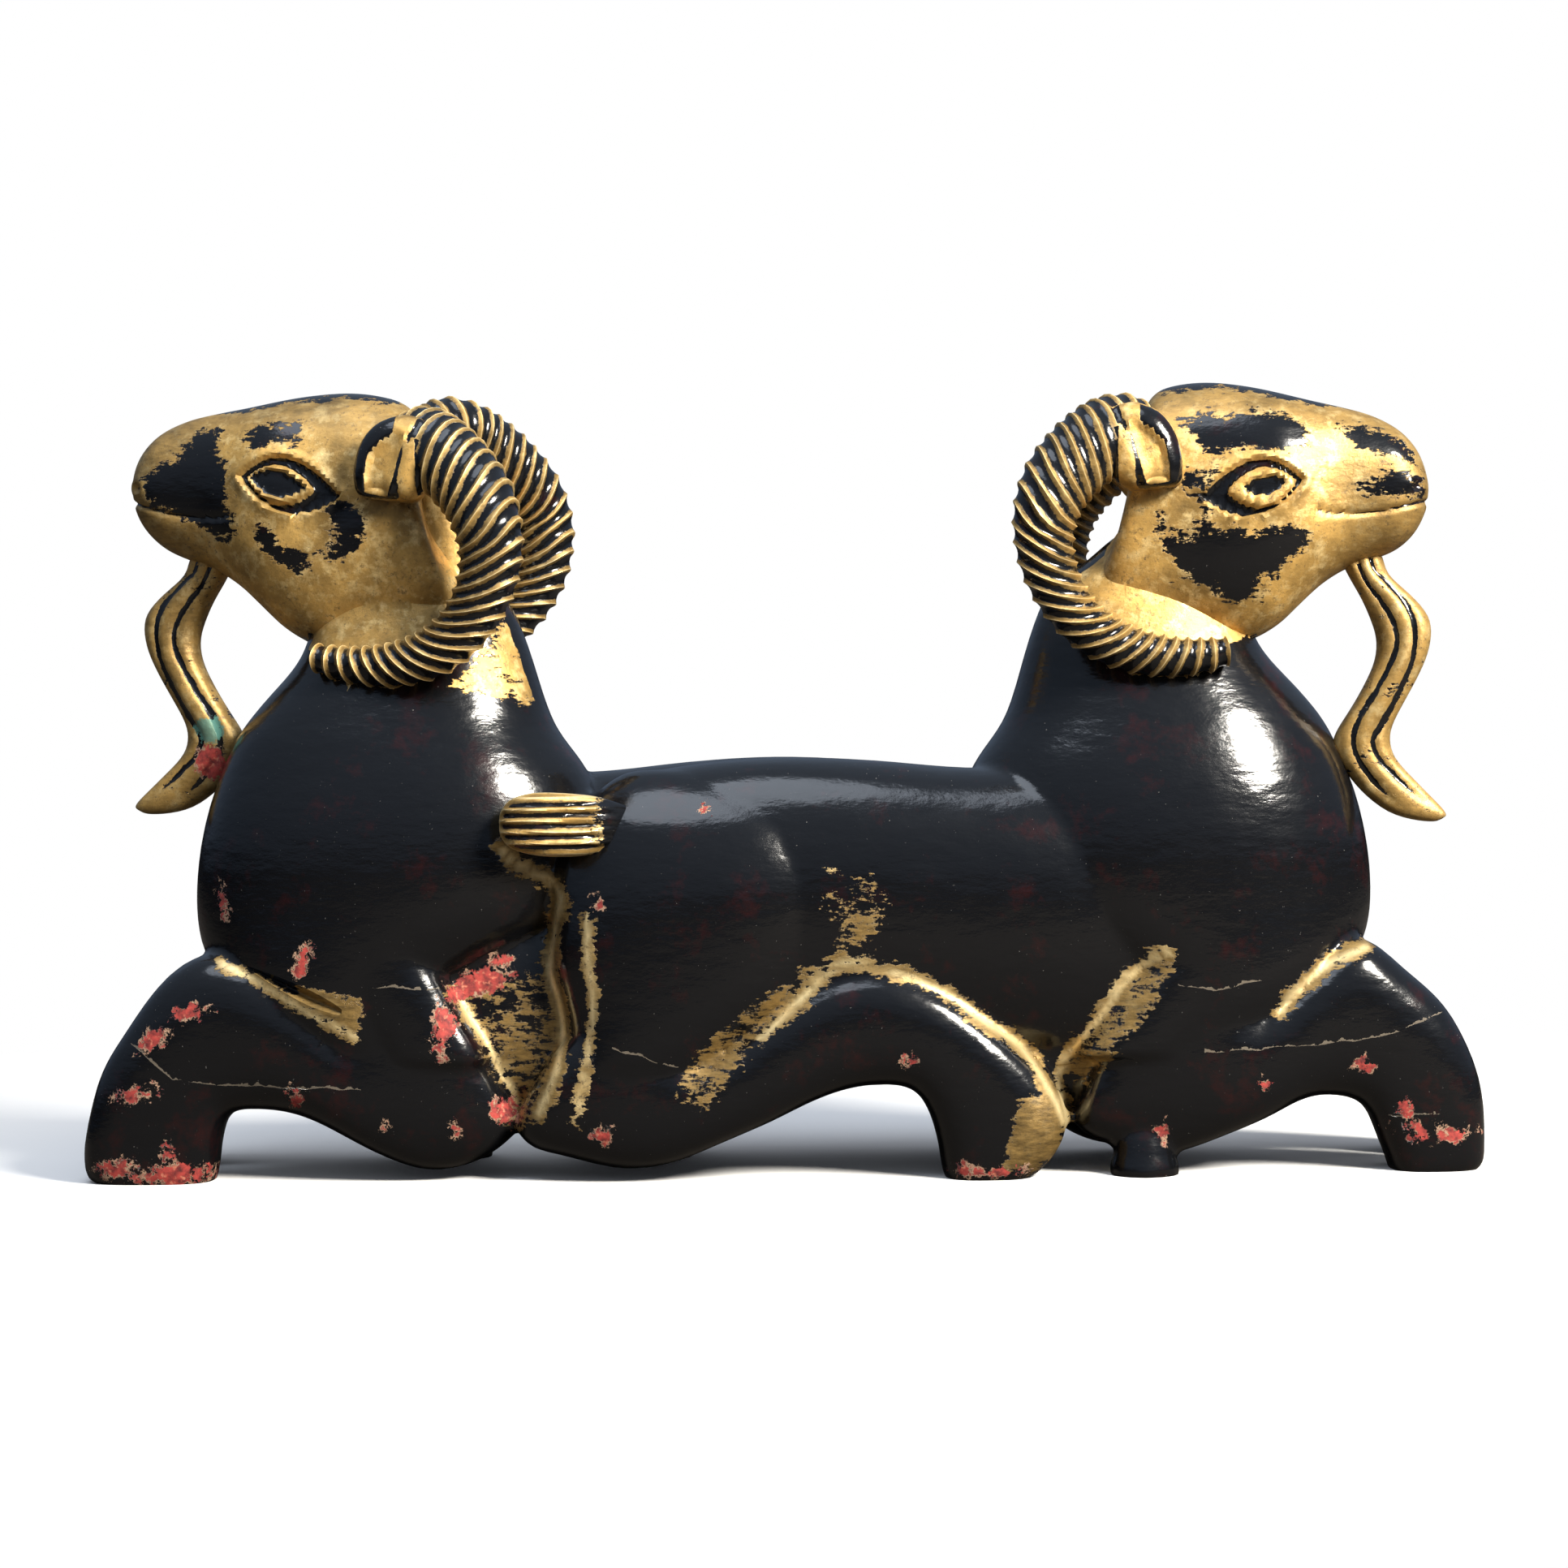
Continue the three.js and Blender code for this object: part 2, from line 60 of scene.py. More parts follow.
# The two rams: half turns about Z, and the small differences that a hand carver left between them.
RAMS = [
    {
        "name": "right_facing",
        "turn": 0.0,
        "head_rise": 0.0,
        "head_stretch": 1.0,
        "head_forward": 0.0,
        "knee_drop": {-1: 0, 1: 9},
        "right_horn_lift": 0,
        "beard_back": 0,
        "left_hoof_shift": 21,
        "hind_hoof_shift": 0,
        "thigh_floor": 0,
        "elbow_foot_shift": 0,
        "eye_lift": 0,
        "pupil_reach": 1.0,
        "full_nape": False,
    },
    {
        "name": "left_facing",
        "turn": math.pi,
        "head_rise": 0.085,
        "head_stretch": 1.06,
        "head_forward": -5.0,
        "knee_drop": {-1: 14, 1: 0},
        "right_horn_lift": 9,
        "beard_back": 3,
        "left_hoof_shift": 0,
        "hind_hoof_shift": -27,
        "thigh_floor": 31,
        "elbow_foot_shift": -6,
        "eye_lift": 4.5,
        "pupil_reach": 1.32,
        "full_nape": True,
    },
]

# Neck and chest, as level sections: height, back of the neck, front of the chest, half depth.
CHEST = [
    [26, 126, 196, 46], [46, 124, 212, 55], [64, 131, 228, 57.5], [80, 138, 244, 59],
    [97, 112, 256, 59.5], [115, 82, 260, 60], [138, 77, 259, 60], [160, 79, 254.5, 57.5],
    [178, 86, 248, 53], [194, 98, 240.5, 47.5], [209, 104, 228.5, 41.5], [226, 109, 213, 35.5],
    [242, 114.5, 207, 31], [254, 121, 203, 28], [266, 137, 198, 25], [280, 153, 188, 19],
]

# Barrel of the body from the rump to the chest: x, underside, back, half depth.
BARREL_Y = -21
BARREL = [
    [-99, 84, 128, 16], [-95, 66, 150, 29], [-86, 52, 164, 36], [-68, 45, 173, 40],
    [-40, 43, 179, 41], [0, 46, 181.7, 41], [40, 50, 180, 41], [80, 50, 176, 40],
    [125, 48, 174, 38], [170, 56, 158, 30],
]

# Belly core that carries both bodies: x, underside, top, half depth, and the same the other way round.
BELLY = [
    [-206, 62, 100, 30], [-180, 44, 112, 40], [-150, 28, 120, 43], [-122, 20, 122, 43],
    [-96, 30, 120, 42], [-60, 41, 118, 42], [0, 45, 118, 42],
]

# Haunch on the right side, as level sections: height, rear edge, front edge, outer depth.
HAUNCH_INNER_Y = -12
HAUNCH = [
    [177, -64, -34, 36], [170, -76, -8, 47], [158, -86, 12, 58], [145, -90, 22, 64],
    [128, -93, 25.5, 68], [110, -97, 25, 69], [95, -98.5, 21, 69], [80, -95.5, 13, 69],
    [64, -92, -8, 68.5], [50, -95, -26, 67], [36, -100, -40, 62],
]

# Limbs, as ribs: underside x, z, upper edge x, z, inner and outer depth.
HIND_LEG = [
    [-117, 25, -108, 40, 30, 50], [-109, 14, -93, 62, 20, 60], [-93, 10.5, -78, 72, 18, 64],
    [-71, 4.5, -62, 68, 18, 66], [-48, 6.5, -46, 58, 18, 66], [-25, 16, -34, 52, 18, 66],
    [-4, 24.5, -16, 64, 18, 66], [14, 33.5, 5, 79, 18, 66], [31, 39, 25, 90, 18, 66],
    [46, 40, 45, 92, 18, 66], [57, 38, 69, 84, 18, 66], [63, 29.5, 92, 67, 18, 65],
    [66.5, 18, 111, 49, 18, 64], [68, 9, 123, 31, 18, 63], [69, 2, 121, 13, 18, 62],
    [72, -5, 106, -3, 19, 60],
]
RIGHT_FORELEG = [
    [126, 24, 131, 36, 20, 44], [129, 18, 141, 58, 14, 50], [140, 12, 155, 78, 10, 54],
    [158, 8, 172, 94, 8, 56], [173, 8.5, 190, 100, 8, 57], [191, 15.5, 203, 72, 8, 57],
    [209, 22.5, 219, 77, 8, 56], [226, 31.5, 234, 91, 8, 55], [240, 32, 251, 102, 8, 54],
    [250, 29, 270, 86, 8, 53], [254.5, 22, 286, 72, 9, 52], [257, 15, 297, 52, 9, 51],
    [260, 8, 302.5, 34, 9, 50], [262, 2, 303.5, 14, 9, 49], [264, -5, 303, -3, 11, 47],
]
LEFT_FORELEG = [
    [113, 23, 119, 38, 20, 42], [120, 15.5, 132, 60, 14, 50], [131, 8, 146, 78, 10, 54],
    [145, 4, 160, 88, 8, 56], [160, 4.5, 176, 88, 8, 57], [181, 14, 189, 66, 8, 57],
    [199, 24, 203, 79, 8, 56], [214, 29.5, 222, 91.5, 8, 55], [229, 31, 246, 101, 8, 54],
    [240, 30, 268, 90, 8, 53], [244, 24, 285, 67, 9, 52], [246, 15, 297, 49, 9, 51],
    [247, 7, 303, 28, 9, 50], [248, 2, 306, 12, 9, 49], [250, -5, 304, -3, 11, 47],
]

# Notch between the chest and the foreleg: lower edge x, z, upper edge x, z, and the depth it leaves.
NOTCH = [
    [266, 86, 268, 112, 22], [250, 93, 254, 107, 36], [234, 91, 238, 102, 45],
    [219, 83, 220, 96, 50], [203, 74, 200, 88, 53.5], [188, 68, 184, 80, 57],
]
NOTCH_OUTER_Y = 84
NOTCH_FRONT_X = 266
NOTCH_REACH = {-1: 0.62, 1: 1.0}

# Upper arm that runs from the chest down to the elbow, as level sections: height, rear edge, front edge.
UPPER_ARM = {
    -1: [[50, 125, 175], [62, 133, 185], [73, 141, 194], [85, 151, 200], [97, 164, 207], [109, 171, 214]],
    1: [[50, 124, 172], [62, 129, 180], [73, 136, 188], [85, 142, 194], [96, 148, 200], [108, 152, 206]],
}
UPPER_ARM_INNER_Y = 20
UPPER_ARM_OUTER_Y = 58.8

# Nape behind the cheeks, as level sections: height, rear edge, front edge.
NAPE = [[250, 124, 178], [262, 126.5, 176], [275, 129, 174], [289, 133, 170], [302, 140, 166]]
NAPE_HALF_DEPTH = 19

# Small round foot under the right elbow: place, and radius at each height.
ELBOW_FOOT_X = 156
ELBOW_FOOT_Y = -42
ELBOW_FOOT = [[-4, 14.5], [3, 15.5], [8, 13.5], [15, 12.5], [22, 9]]

# Tail laid over the rump: x, underside, top, outer depth.
TAIL_INNER_Y = -48
TAIL = [
    [-54, 149, 158, 44], [-65, 145.5, 162, 54.5], [-75, 142.5, 165.5, 63], [-84, 140.5, 167, 67.5],
    [-97, 140.5, 168, 72],
    [-107, 142, 167.5, 73], [-114.5, 145, 164.5, 70], [-118.5, 150, 159, 63],
]

# Head, as ribs from the cheek to the muzzle: jaw x, z, crown x, z, half width.
HEAD_TURN = math.radians(6.6)
NECK_AXIS_X = 165
HEAD = [
    [135, 251, 148, 274, 14], [138, 244, 158, 289, 24], [144, 238.5, 160, 310, 30],
    [153, 234.5, 163, 330, 33.5], [166, 231.5, 168, 339, 35], [183, 229.5, 177, 342.5, 35.5],
    [203, 228, 191, 343.5, 36], [219, 235, 207, 341.5, 36], [230, 245, 221, 338.3, 34.5],
    [240, 254, 235, 334.5, 30], [251, 260.5, 249, 331, 25.5], [262, 264, 262, 327, 23.5],
    [271, 267.5, 273.5, 320.5, 22.5], [277.5, 272.5, 281, 312, 19.5],
    [282, 278.5, 284.7, 303, 14.5], [285.3, 286, 286.3, 295, 6],
]
MOUTH = [[238, 284.5], [246, 283.2], [262, 283.4], [275, 285.8], [290, 289.5]]
NOSTRIL = [280.5, 294.7]
EYE = {"rear": [188, 291], "front": [233, 297.5], "upper": [213, 320], "lower": [212, 270]}
EYE_LID = {"rear": [199.5, 293], "front": [229.5, 297], "upper": [214, 311], "lower": [215.5, 277]}
PUPIL = {"rear": [206, 294.2], "front": [225, 297.2], "upper": [215, 303.5], "lower": [217, 286]}
EYE_DEPTH = 2.6
PUPIL_DEPTH = 1.5
TEMPLE_CREASE = [[160, 293], [176, 293.5], [190, 291.5]]

# Ear, as ribs from its root down to its tip: rear edge x, z, front edge x, z, inner and outer depth.
EAR = [
    [152, 331, 160, 333, 30, 41], [147.5, 326, 171, 328, 30, 46], [145.5, 316, 178, 319, 30, 48.5],
    [147, 307, 181, 308, 30, 49], [150.5, 300, 181, 301, 30, 48.5], [154, 296, 180, 297, 30, 46.5],
    [158, 294, 177, 295, 30, 42],
]
EAR_PANEL = [[160, 324], [167, 320.5], [173, 314], [175.5, 305], [175.5, 297], [166, 296], [164.5, 304],
    [161, 314]]
EAR_FOLD = [[153, 328], [158, 319], [161.5, 308], [162, 296]]

# Horn: middle line x, y, z of the right horn and its radius in the plane of the curl and across it.
HORN_SPREAD = 53
HORN_SWEEP = 11
HORN = [
    [164, -16, 322, 11, 9], [155.5, -26, 322.5, 15, 11.5], [147, -36.5, 317.5, 17.3, 13],
    [136, -44, 308.5, 17.5, 13.5], [126.8, -49.5, 298, 16.4, 13.8], [122, -HORN_SPREAD, 286, 15, 13.8],
    [120.8, -HORN_SPREAD, 274, 13.8, 13.5], [122.7, -53, 262, 12.6, 13], [128, -52, 250, 11.8, 12.5],
    [136.5, -50, 238.5, 11.4, 12], [148, -47, 229.5, 11, 11.5], [162, -43.5, 224, 10.2, 11],
    [176, -40.5, 222, 9.2, 10], [188.5, -38, 222.5, 8.2, 9], [199, -36, 224.5, 6.8, 7.5],
]

# Beard: inner edge x, z, outer edge x, z, half thickness.
BEARD = [
    [247, 266, 266, 268, 9], [251.5, 256.5, 268, 258, 9.5], [256.5, 247.5, 277, 249.5, 9.5],
    [260.5, 238, 285.2, 240, 9.5], [263, 229, 286.8, 231.5, 9.5], [262, 219.5, 285, 222, 9.5],
    [257.5, 209.5, 280.5, 212, 9.5], [251.5, 199, 275, 202, 9.5], [245, 189, 269.5, 191.5, 9],
    [243.5, 181.5, 268.5, 184, 8.5], [249, 171.5, 271, 176.5, 8], [256.5, 162, 279, 167.5, 7],
    [268, 153, 287, 159, 6], [281, 149.5, 291.5, 154, 4.5], [288.5, 149.2, 292.5, 151.5, 2.5],
]

# Kinds of surface, kept per vertex while the parts are joined.
BODY, SKULL, HORN_KIND, EAR_KIND, TAIL_KIND, BEARD_KIND = range(6)

# Gilding on the bodies. Each line runs in a ram's own x and z, on one side, with its half width in mm.
GILT_LINES = [
    {"side": -1, "half": 3.2, "line": [[252, 97], [236, 90], [220, 78], [214, 70]]},
    {"side": -1, "half": 3.0, "line": [[166, 97], [151, 87], [138, 70], [121, 46], [122, 28], [125, 12]]},
    {"side": -1, "half": 2.6, "line": [[24, 134], [21.5, 117], [21.5, 93], [11, 80], [-8, 62]]},
    {"side": -1, "half": 3.2, "line": [[21, 93], [39, 92], [57, 87], [73, 79], [90, 66], [104, 55],
        [116, 36], [121, 24]]},
    {"side": -1, "half": 2.6, "line": [[-81, 115], [-81, 95], [-79, 80], [-82, 55], [-87, 28]]},
    {"side": 1, "half": 2.4, "line": [[242, 96], [221, 86], [200, 73], [182, 64]]},
    {"side": 1, "half": 2.6, "line": [[140, 82], [133, 69], [127, 60], [121, 46], [116, 36], [119, 27]]},
    {"side": 1, "half": 4.2, "line": [[118, 144], [108, 135], [94, 125], [97, 108], [99, 90], [95, 76],
        [94, 60], [97, 45], [104, 30]]},
]

# Below the cheeks, inside the curl of the horns, the gold runs on over the neck.
CHEEK_GILDING = [[215, 262], [196, 272], [188, 304], [130, 304], [130, 250], [145, 236], [165, 228],
    [196, 227], [210, 236], [216, 250]]

# Brushed gold fields on the bodies, as outlines in a ram's own x and z, with how thickly the gold covers.
GILT_FIELDS = [
    {"side": -1, "cover": 0.5, "outline": [[151, 97], [172, 99], [164, 80], [150, 62], [131, 38],
        [117, 44], [137, 74]]},
    {"side": -1, "cover": 0.35, "outline": [[24, 133], [46, 128], [47, 114], [42, 95], [24, 91]]},
    {"side": -1, "cover": 0.5, "outline": [[12, 92], [14, 77], [-10, 57], [-32, 31], [-44, 37],
        [-38, 52], [-12, 76]]},
    {"side": -1, "cover": 1.0, "outline": [[116, 36], [121, 24], [121, 12], [108, 4], [92, 3], [98, 20],
        [103, 34]]},
    {"side": 1, "cover": 1.0, "outline": [[206, 86], [180, 81], [181, 66], [200, 72]]},
    {"side": 1, "cover": 0.45, "outline": [[126, 88], [108, 92], [98, 86], [95, 58], [103, 32],
        [113, 18], [116, 36], [127, 60]]},
    {"side": -1, "cover": 1.6, "outline": CHEEK_GILDING},
    {"side": 1, "cover": 1.6, "outline": CHEEK_GILDING},
    {"side": 1, "cover": 0.75, "outline": [[104, 256], [115, 249], [126, 235], [141, 213], [125, 209],
        [106, 207], [104, 230]]},
]

# Places on the heads where the gilding is worn to the lacquer, in the head's own x and z, on the side shown;
# the first outline of the left side set, over the muzzle, is painted shade.
RIGHT_HEAD_WEAR = [
    [[168, 270], [170, 285], [178, 276], [184, 274], [190, 289], [194, 279], [210, 276], [224, 280],
        [233, 278],
     [236, 269], [227, 263], [223, 256], [214, 253], [213, 245], [201, 244], [191, 252], [181, 257],
     [174, 252], [178, 264]],
    [[175, 325], [190, 328], [211, 328], [224, 330], [233, 322], [235, 311], [224, 309], [213, 311],
        [197, 308], [185, 315]],
    [[178, 304], [197, 303], [191, 292], [178, 293]],
    [[246, 322], [265, 320], [277, 313], [279, 305], [265, 307], [253, 310]],
    [[255, 294], [261, 302], [283, 300], [283, 289], [261, 289]],
]
# The first outline, over the muzzle, is painted shade; the others are worn gilding.
LEFT_HEAD_WEAR_AND_SHADE = [
    [[279, 298], [266, 308], [256, 318], [251, 323], [241, 323], [243, 313], [238, 308], [239, 302],
        [236, 291],
     [233, 278], [242, 272], [254, 277], [268, 285], [278, 288]],
    [[232, 320], [220, 327], [206, 329], [206, 317], [218, 314], [229, 312]],
    [[228, 286], [219, 283], [214, 273], [200, 269], [192, 275], [196, 290], [191, 294], [179, 291],
        [176, 281],
     [180, 274], [190, 268], [204, 263], [209, 258], [219, 266], [226, 273]],
]

# Chips down to the coral ground on the side shown: x, z, half length, half height, lean in degrees.
FRONT_CHIPS = [
    [-204, 97, 3.5, 7, -20], [-254, 75, 8, 3, 5], [-270, 63, 7, 4, 30], [-280, 40, 9, 3, 5],
    [-265, 14, 3, 4, 0],
    [-288, 7, 9, 4, 0], [-263, 4, 14, 5, 0], [-209, 38, 3, 4, 20], [-171, 26, 2, 2, 0],
    [-140, 24, 2, 2.5, 0],
    [-144, 68, 5, 9, -10], [-130, 86, 13, 6, 15], [-121, 92, 5, 5, 0], [-241, 121, 2.5, 6, 10],
    [-76.5, 120, 1.4, 2.5, 0],
    [-76, 21, 4.5, 4.5, 0], [-30, 160, 1.6, 2, 0], [55.5, 52, 2.6, 3, 0], [78, 5, 5, 3, 0],
    [92, 4, 9, 2, 0],
    [249, 47, 4, 3.5, 0], [206, 39.5, 2, 2, 0], [163, 19, 3, 4, 0], [267, 28, 4, 4, 0],
    [281, 17, 13, 3.6, -3],
    [-120, 30, 4, 6, 40], [-255, 182, 6, 8, 25], [-146, 60, 2.5, 6, 15], [-125, 89, 7, 4, 60],
    [-139, 81, 3, 4, 0],
]
VERDIGRIS = {"x": -255, "z": 197, "radius": 6.5}
BACK_CHIPS = [
    [-262, 42, 8, 3.5, 10], [-232, 6, 9, 3, 0], [-120, 58, 3, 4, 0], [-60, 12, 6, 3, 0], [98, 96, 4, 6, 20],
    [150, 22, 3, 3, 0], [214, 70, 5, 3, 15], [268, 30, 7, 4, -10], [284, 6, 9, 3.4, 0], [40, 150, 2, 2, 0],
]

# Hairline cracks on the side shown: start x, z and end x, z.
FRONT_CRACKS = [
    [-174, 85, -146, 84.5], [-281, 62, -262, 46], [-262, 46, -232, 43.5], [-232, 43.5, -180, 41.5],
    [-71, 59, -43, 50.5], [170, 83, 185, 80], [185, 80, 206, 84], [181, 53, 223, 55.8],
    [223, 55.8, 258, 59], [258, 59, 284, 69], [260, 25, 283, 26.2],
]


# Plain mathematics on tables, in millimetres.


def along(rows, count):
    """The rows as one smooth curve, sampled evenly between its first and last row."""
    rows = np.asarray(rows, float)
    padded = np.vstack([2 * rows[0] - rows[1], rows, 2 * rows[-1] - rows[-2]])
    place = np.linspace(0, len(rows) - 1, count)
    k = np.minimum(place.astype(int), len(rows) - 2)
    t = (place - k)[:, None]
    a, b, c, d = (padded[k + i] for i in range(4))
    return 0.5 * (2 * b + (c - a) * t + (2 * a - 5 * b + 4 * c - d) * t**2 + (3 * b - a - 3 * c + d) * t**3)


def smoothstep(x, low, high):
    t = np.clip((np.asarray(x, float) - low) / (high - low), 0, 1)
    return t * t * (3 - 2 * t)


def squared(value, squareness):
    """Rounded squareness of a circle's own coordinate: 2 leaves it round, more is boxier."""
    return np.sign(value) * np.abs(value) ** (2 / squareness)


def line_distance(points, line):
    """Distance of each point to an open line."""
    best = np.full(len(points), np.inf)
    line = np.asarray(line, float)
    for a, b in zip(line[:-1], line[1:]):
        step = b - a
        t = np.clip((points - a) @ step / (step @ step), 0, 1)
        best = np.minimum(best, np.linalg.norm(points - a - t[:, None] * step, axis=1))
    return best


def inside_distance(points, outline):
    """Distance of each point to a closed outline, positive inside it."""
    outline = np.asarray(outline, float)
    after = np.roll(outline, -1, axis=0)
    odd = np.zeros(len(points), bool)
    for (x0, z0), (x1, z1) in zip(outline, after):
        if z0 == z1:
            continue
        crosses = (points[:, 1] > min(z0, z1)) & (points[:, 1] <= max(z0, z1))
        odd ^= crosses & (points[:, 0] < x0 + (points[:, 1] - z0) * (x1 - x0) / (z1 - z0))
    edge = line_distance(points, np.vstack([outline, outline[:1]]))
    return np.where(odd, edge, -edge)


def almond(shape, steps=12):
    """Outline of an almond between two corners, bowed through an upper and a lower point."""
    rear, front, upper, lower = (np.array(shape[k], float) for k in ("rear", "front", "upper", "lower"))
    t = np.linspace(0, 1, steps, endpoint=False)[:, None]

    def bow(a, b, c):
        return a * (1 - t) ** 2 + 2 * b * t * (1 - t) + c * t**2

    return np.vstack([bow(rear, upper, front), bow(front, lower, rear)])


def level(rows):
    """Ribs from level sections: height, rear x, front x, depth range."""
    return [[x0, z, x1, z, y0, y1] for z, x0, x1, y0, y1 in rows]


def upright(rows):
    """Ribs from upright sections: x, underside, top, depth range."""
    return [[x, z0, x, z1, y0, y1] for x, z0, z1, y0, y1 in rows]


def sided(rows, side):
    """Ribs of a limb, from inner and outer depth, on one side of a ram."""
    return [[x0, z0, x1, z1, side * inner, side * outer] for x0, z0, x1, z1, inner, outer in rows]


# Hands: selecting, growing, joining and finishing meshes.


def select_only(*objects):
    bpy.ops.object.select_all(action="DESELECT")
    for o in objects:
        o.select_set(True)
    bpy.context.view_layer.objects.active = objects[0]


def finish_with(obj, kind, **settings):
    """Adds a modifier with its settings and applies it."""
    select_only(obj)
    bpy.ops.object.modifier_add(type=kind)
    modifier = obj.modifiers[-1]
    for name, value in settings.items():
        setattr(modifier, name, value)
    bpy.ops.object.modifier_apply(modifier=modifier.name)


def face_outwards(obj):
    select_only(obj)
    bpy.ops.object.mode_set(mode="EDIT")
    bpy.ops.mesh.select_all(action="SELECT")
    bpy.ops.mesh.normals_make_consistent(inside=False)
    bpy.ops.object.mode_set(mode="OBJECT")


def points_of(obj):
    co = np.empty(len(obj.data.vertices) * 3)
    obj.data.vertices.foreach_get("co", co)
    return co.reshape(-1, 3)


def normals_of(obj):
    n = np.empty(len(obj.data.vertices) * 3)
    obj.data.vertices.foreach_get("normal", n)
    return n.reshape(-1, 3)


def set_points(obj, points):
    obj.data.vertices.foreach_set("co", np.asarray(points, float).ravel())
    obj.data.update()


def set_field(obj, name, values):
    """Stores one number for each vertex, for the material to read."""
    field = obj.data.attributes.get(name) or obj.data.attributes.new(name, "FLOAT", "POINT")
    field.data.foreach_set("value", np.asarray(values, np.float32))


def field_of(obj, name):
    values = np.empty(len(obj.data.vertices), np.float32)
    obj.data.attributes[name].data.foreach_get("value", values)
    return values


def number_by_place(obj):
    """Numbers the points and faces by their place, because extruding leaves them in a chance order."""
    points = points_of(obj)
    order = np.lexsort(points.T)
    rank = np.argsort(order)
    faces = []
    for polygon in obj.data.polygons:
        corners = [int(rank[v]) for v in polygon.vertices]
        first = corners.index(min(corners))
        faces.append(corners[first:] + corners[:first])
    obj.data.clear_geometry()
    obj.data.from_pydata(points[order], [], sorted(faces))


def grow(name, ribs, sides=32, count=26, squareness=2.4, smooth=1):
    """A mass grown like a clay coil: a squared disc, extruded from rib to rib, sized and turned at each."""
    ribs = along(ribs, count)
    centres = [Vector(((r[0] + r[2]) / 2, (r[4] + r[5]) / 2, (r[1] + r[3]) / 2)) * MM for r in ribs]
    halves = [max(math.hypot(r[2] - r[0], r[3] - r[1]) / 2, 0.4) * MM for r in ribs]
    depths = [max(abs(r[5] - r[4]) / 2, 0.4) * MM for r in ribs]
    tilts = [math.atan2(r[3] - r[1], r[2] - r[0]) for r in ribs]
    bpy.ops.object.select_all(action="DESELECT")
    bpy.ops.mesh.primitive_circle_add(vertices=sides, radius=1, fill_type="NGON", location=(0, 0, 0))
    mass = bpy.context.object
    mass.name = name
    round_points = points_of(mass)
    round_points[:, :2] = squared(round_points[:, :2], squareness)
    set_points(mass, round_points)
    bpy.ops.object.mode_set(mode="EDIT")
    bpy.ops.mesh.select_all(action="SELECT")
    bpy.ops.transform.resize(value=(halves[0], depths[0], 1), center_override=(0, 0, 0))
    bpy.ops.transform.rotate(value=tilts[0], orient_axis="Y", center_override=(0, 0, 0))
    bpy.ops.transform.translate(value=centres[0])
    for i in range(1, count):
        here = centres[i]
        bpy.ops.mesh.extrude_region_move(TRANSFORM_OT_translate={"value": here - centres[i - 1]})
        bpy.ops.transform.rotate(value=-tilts[i - 1], orient_axis="Y", center_override=here)
        bpy.ops.transform.resize(
            value=(halves[i] / halves[i - 1], depths[i] / depths[i - 1], 1), center_override=here
        )
        bpy.ops.transform.rotate(value=tilts[i], orient_axis="Y", center_override=here)
    bpy.ops.mesh.select_all(action="SELECT")
    bpy.ops.mesh.normals_make_consistent(inside=False)
    bpy.ops.object.mode_set(mode="OBJECT")
    number_by_place(mass)
    if smooth:
        finish_with(mass, "SUBSURF", levels=smooth, render_levels=smooth)
    return mass


def joined(name, masses):
    select_only(*masses)
    bpy.ops.object.join()
    whole = bpy.context.object
    whole.name = name
    return whole


def copy_of(obj, name):
    select_only(obj)
    bpy.ops.object.duplicate()
    twin = bpy.context.object
    twin.name = name
    return twin


def turned(obj, own):
    """The piece, turned about Z to stand where its ram stands."""
    obj.data.transform(Matrix.Rotation(own["turn"], 4, "Z"))
    return obj


def mirrored(obj):
    """The piece for a ram's other side."""
    obj.data.transform(Matrix.Scale(-1, 4, (0, 1, 0)))
    face_outwards(obj)
    return obj


def boolean(obj, other, operation):
    finish_with(obj, "BOOLEAN", operation=operation, object=other, solver="MANIFOLD")
    bpy.data.objects.remove(other)


def smooth_normals(obj):
    select_only(obj)
    bpy.ops.object.shade_smooth_by_angle(angle=math.radians(38))


# The bodies.


def hind_leg(own):
    rows = []
    for x0, z0, x1, z1, inner, outer in HIND_LEG:
        lifted = max(z0, own["thigh_floor"]) if -80 < x0 < 62 else z0
        slide = [own["hind_hoof_shift"] * float(smoothstep(x, -20, 60)) for x in (x0, x1)]
        rows.append([x0 + slide[0], lifted, x1 + slide[1], z1, inner, outer])
    return grow("hind_leg", sided(rows, -1), squareness=2.9)


def foreleg(own, table, side, hoof_shift):
    rows = []
    for x0, z0, x1, z1, inner, outer in table:
        slide = hoof_shift * float(smoothstep(x0, 225, 246))
        drop = own["knee_drop"][side] * float(smoothstep(x1, 240, 275) * smoothstep(z1, 10, 50))
        rows.append([x0 + slide, z0, x1, z1 - drop, inner, outer])
    return grow("foreleg", sided(rows, side), squareness=2.9)


def notch(side):
    reach = NOTCH_REACH[side]
    rows = [
        [NOTCH_FRONT_X + (x0 - NOTCH_FRONT_X) * reach, z0, NOTCH_FRONT_X + (x1 - NOTCH_FRONT_X) * reach, z1,
         side * inner, side * NOTCH_OUTER_Y]
        for x0, z0, x1, z1, inner in NOTCH
    ]
    return grow("notch", rows, sides=24, count=22, squareness=1.35)


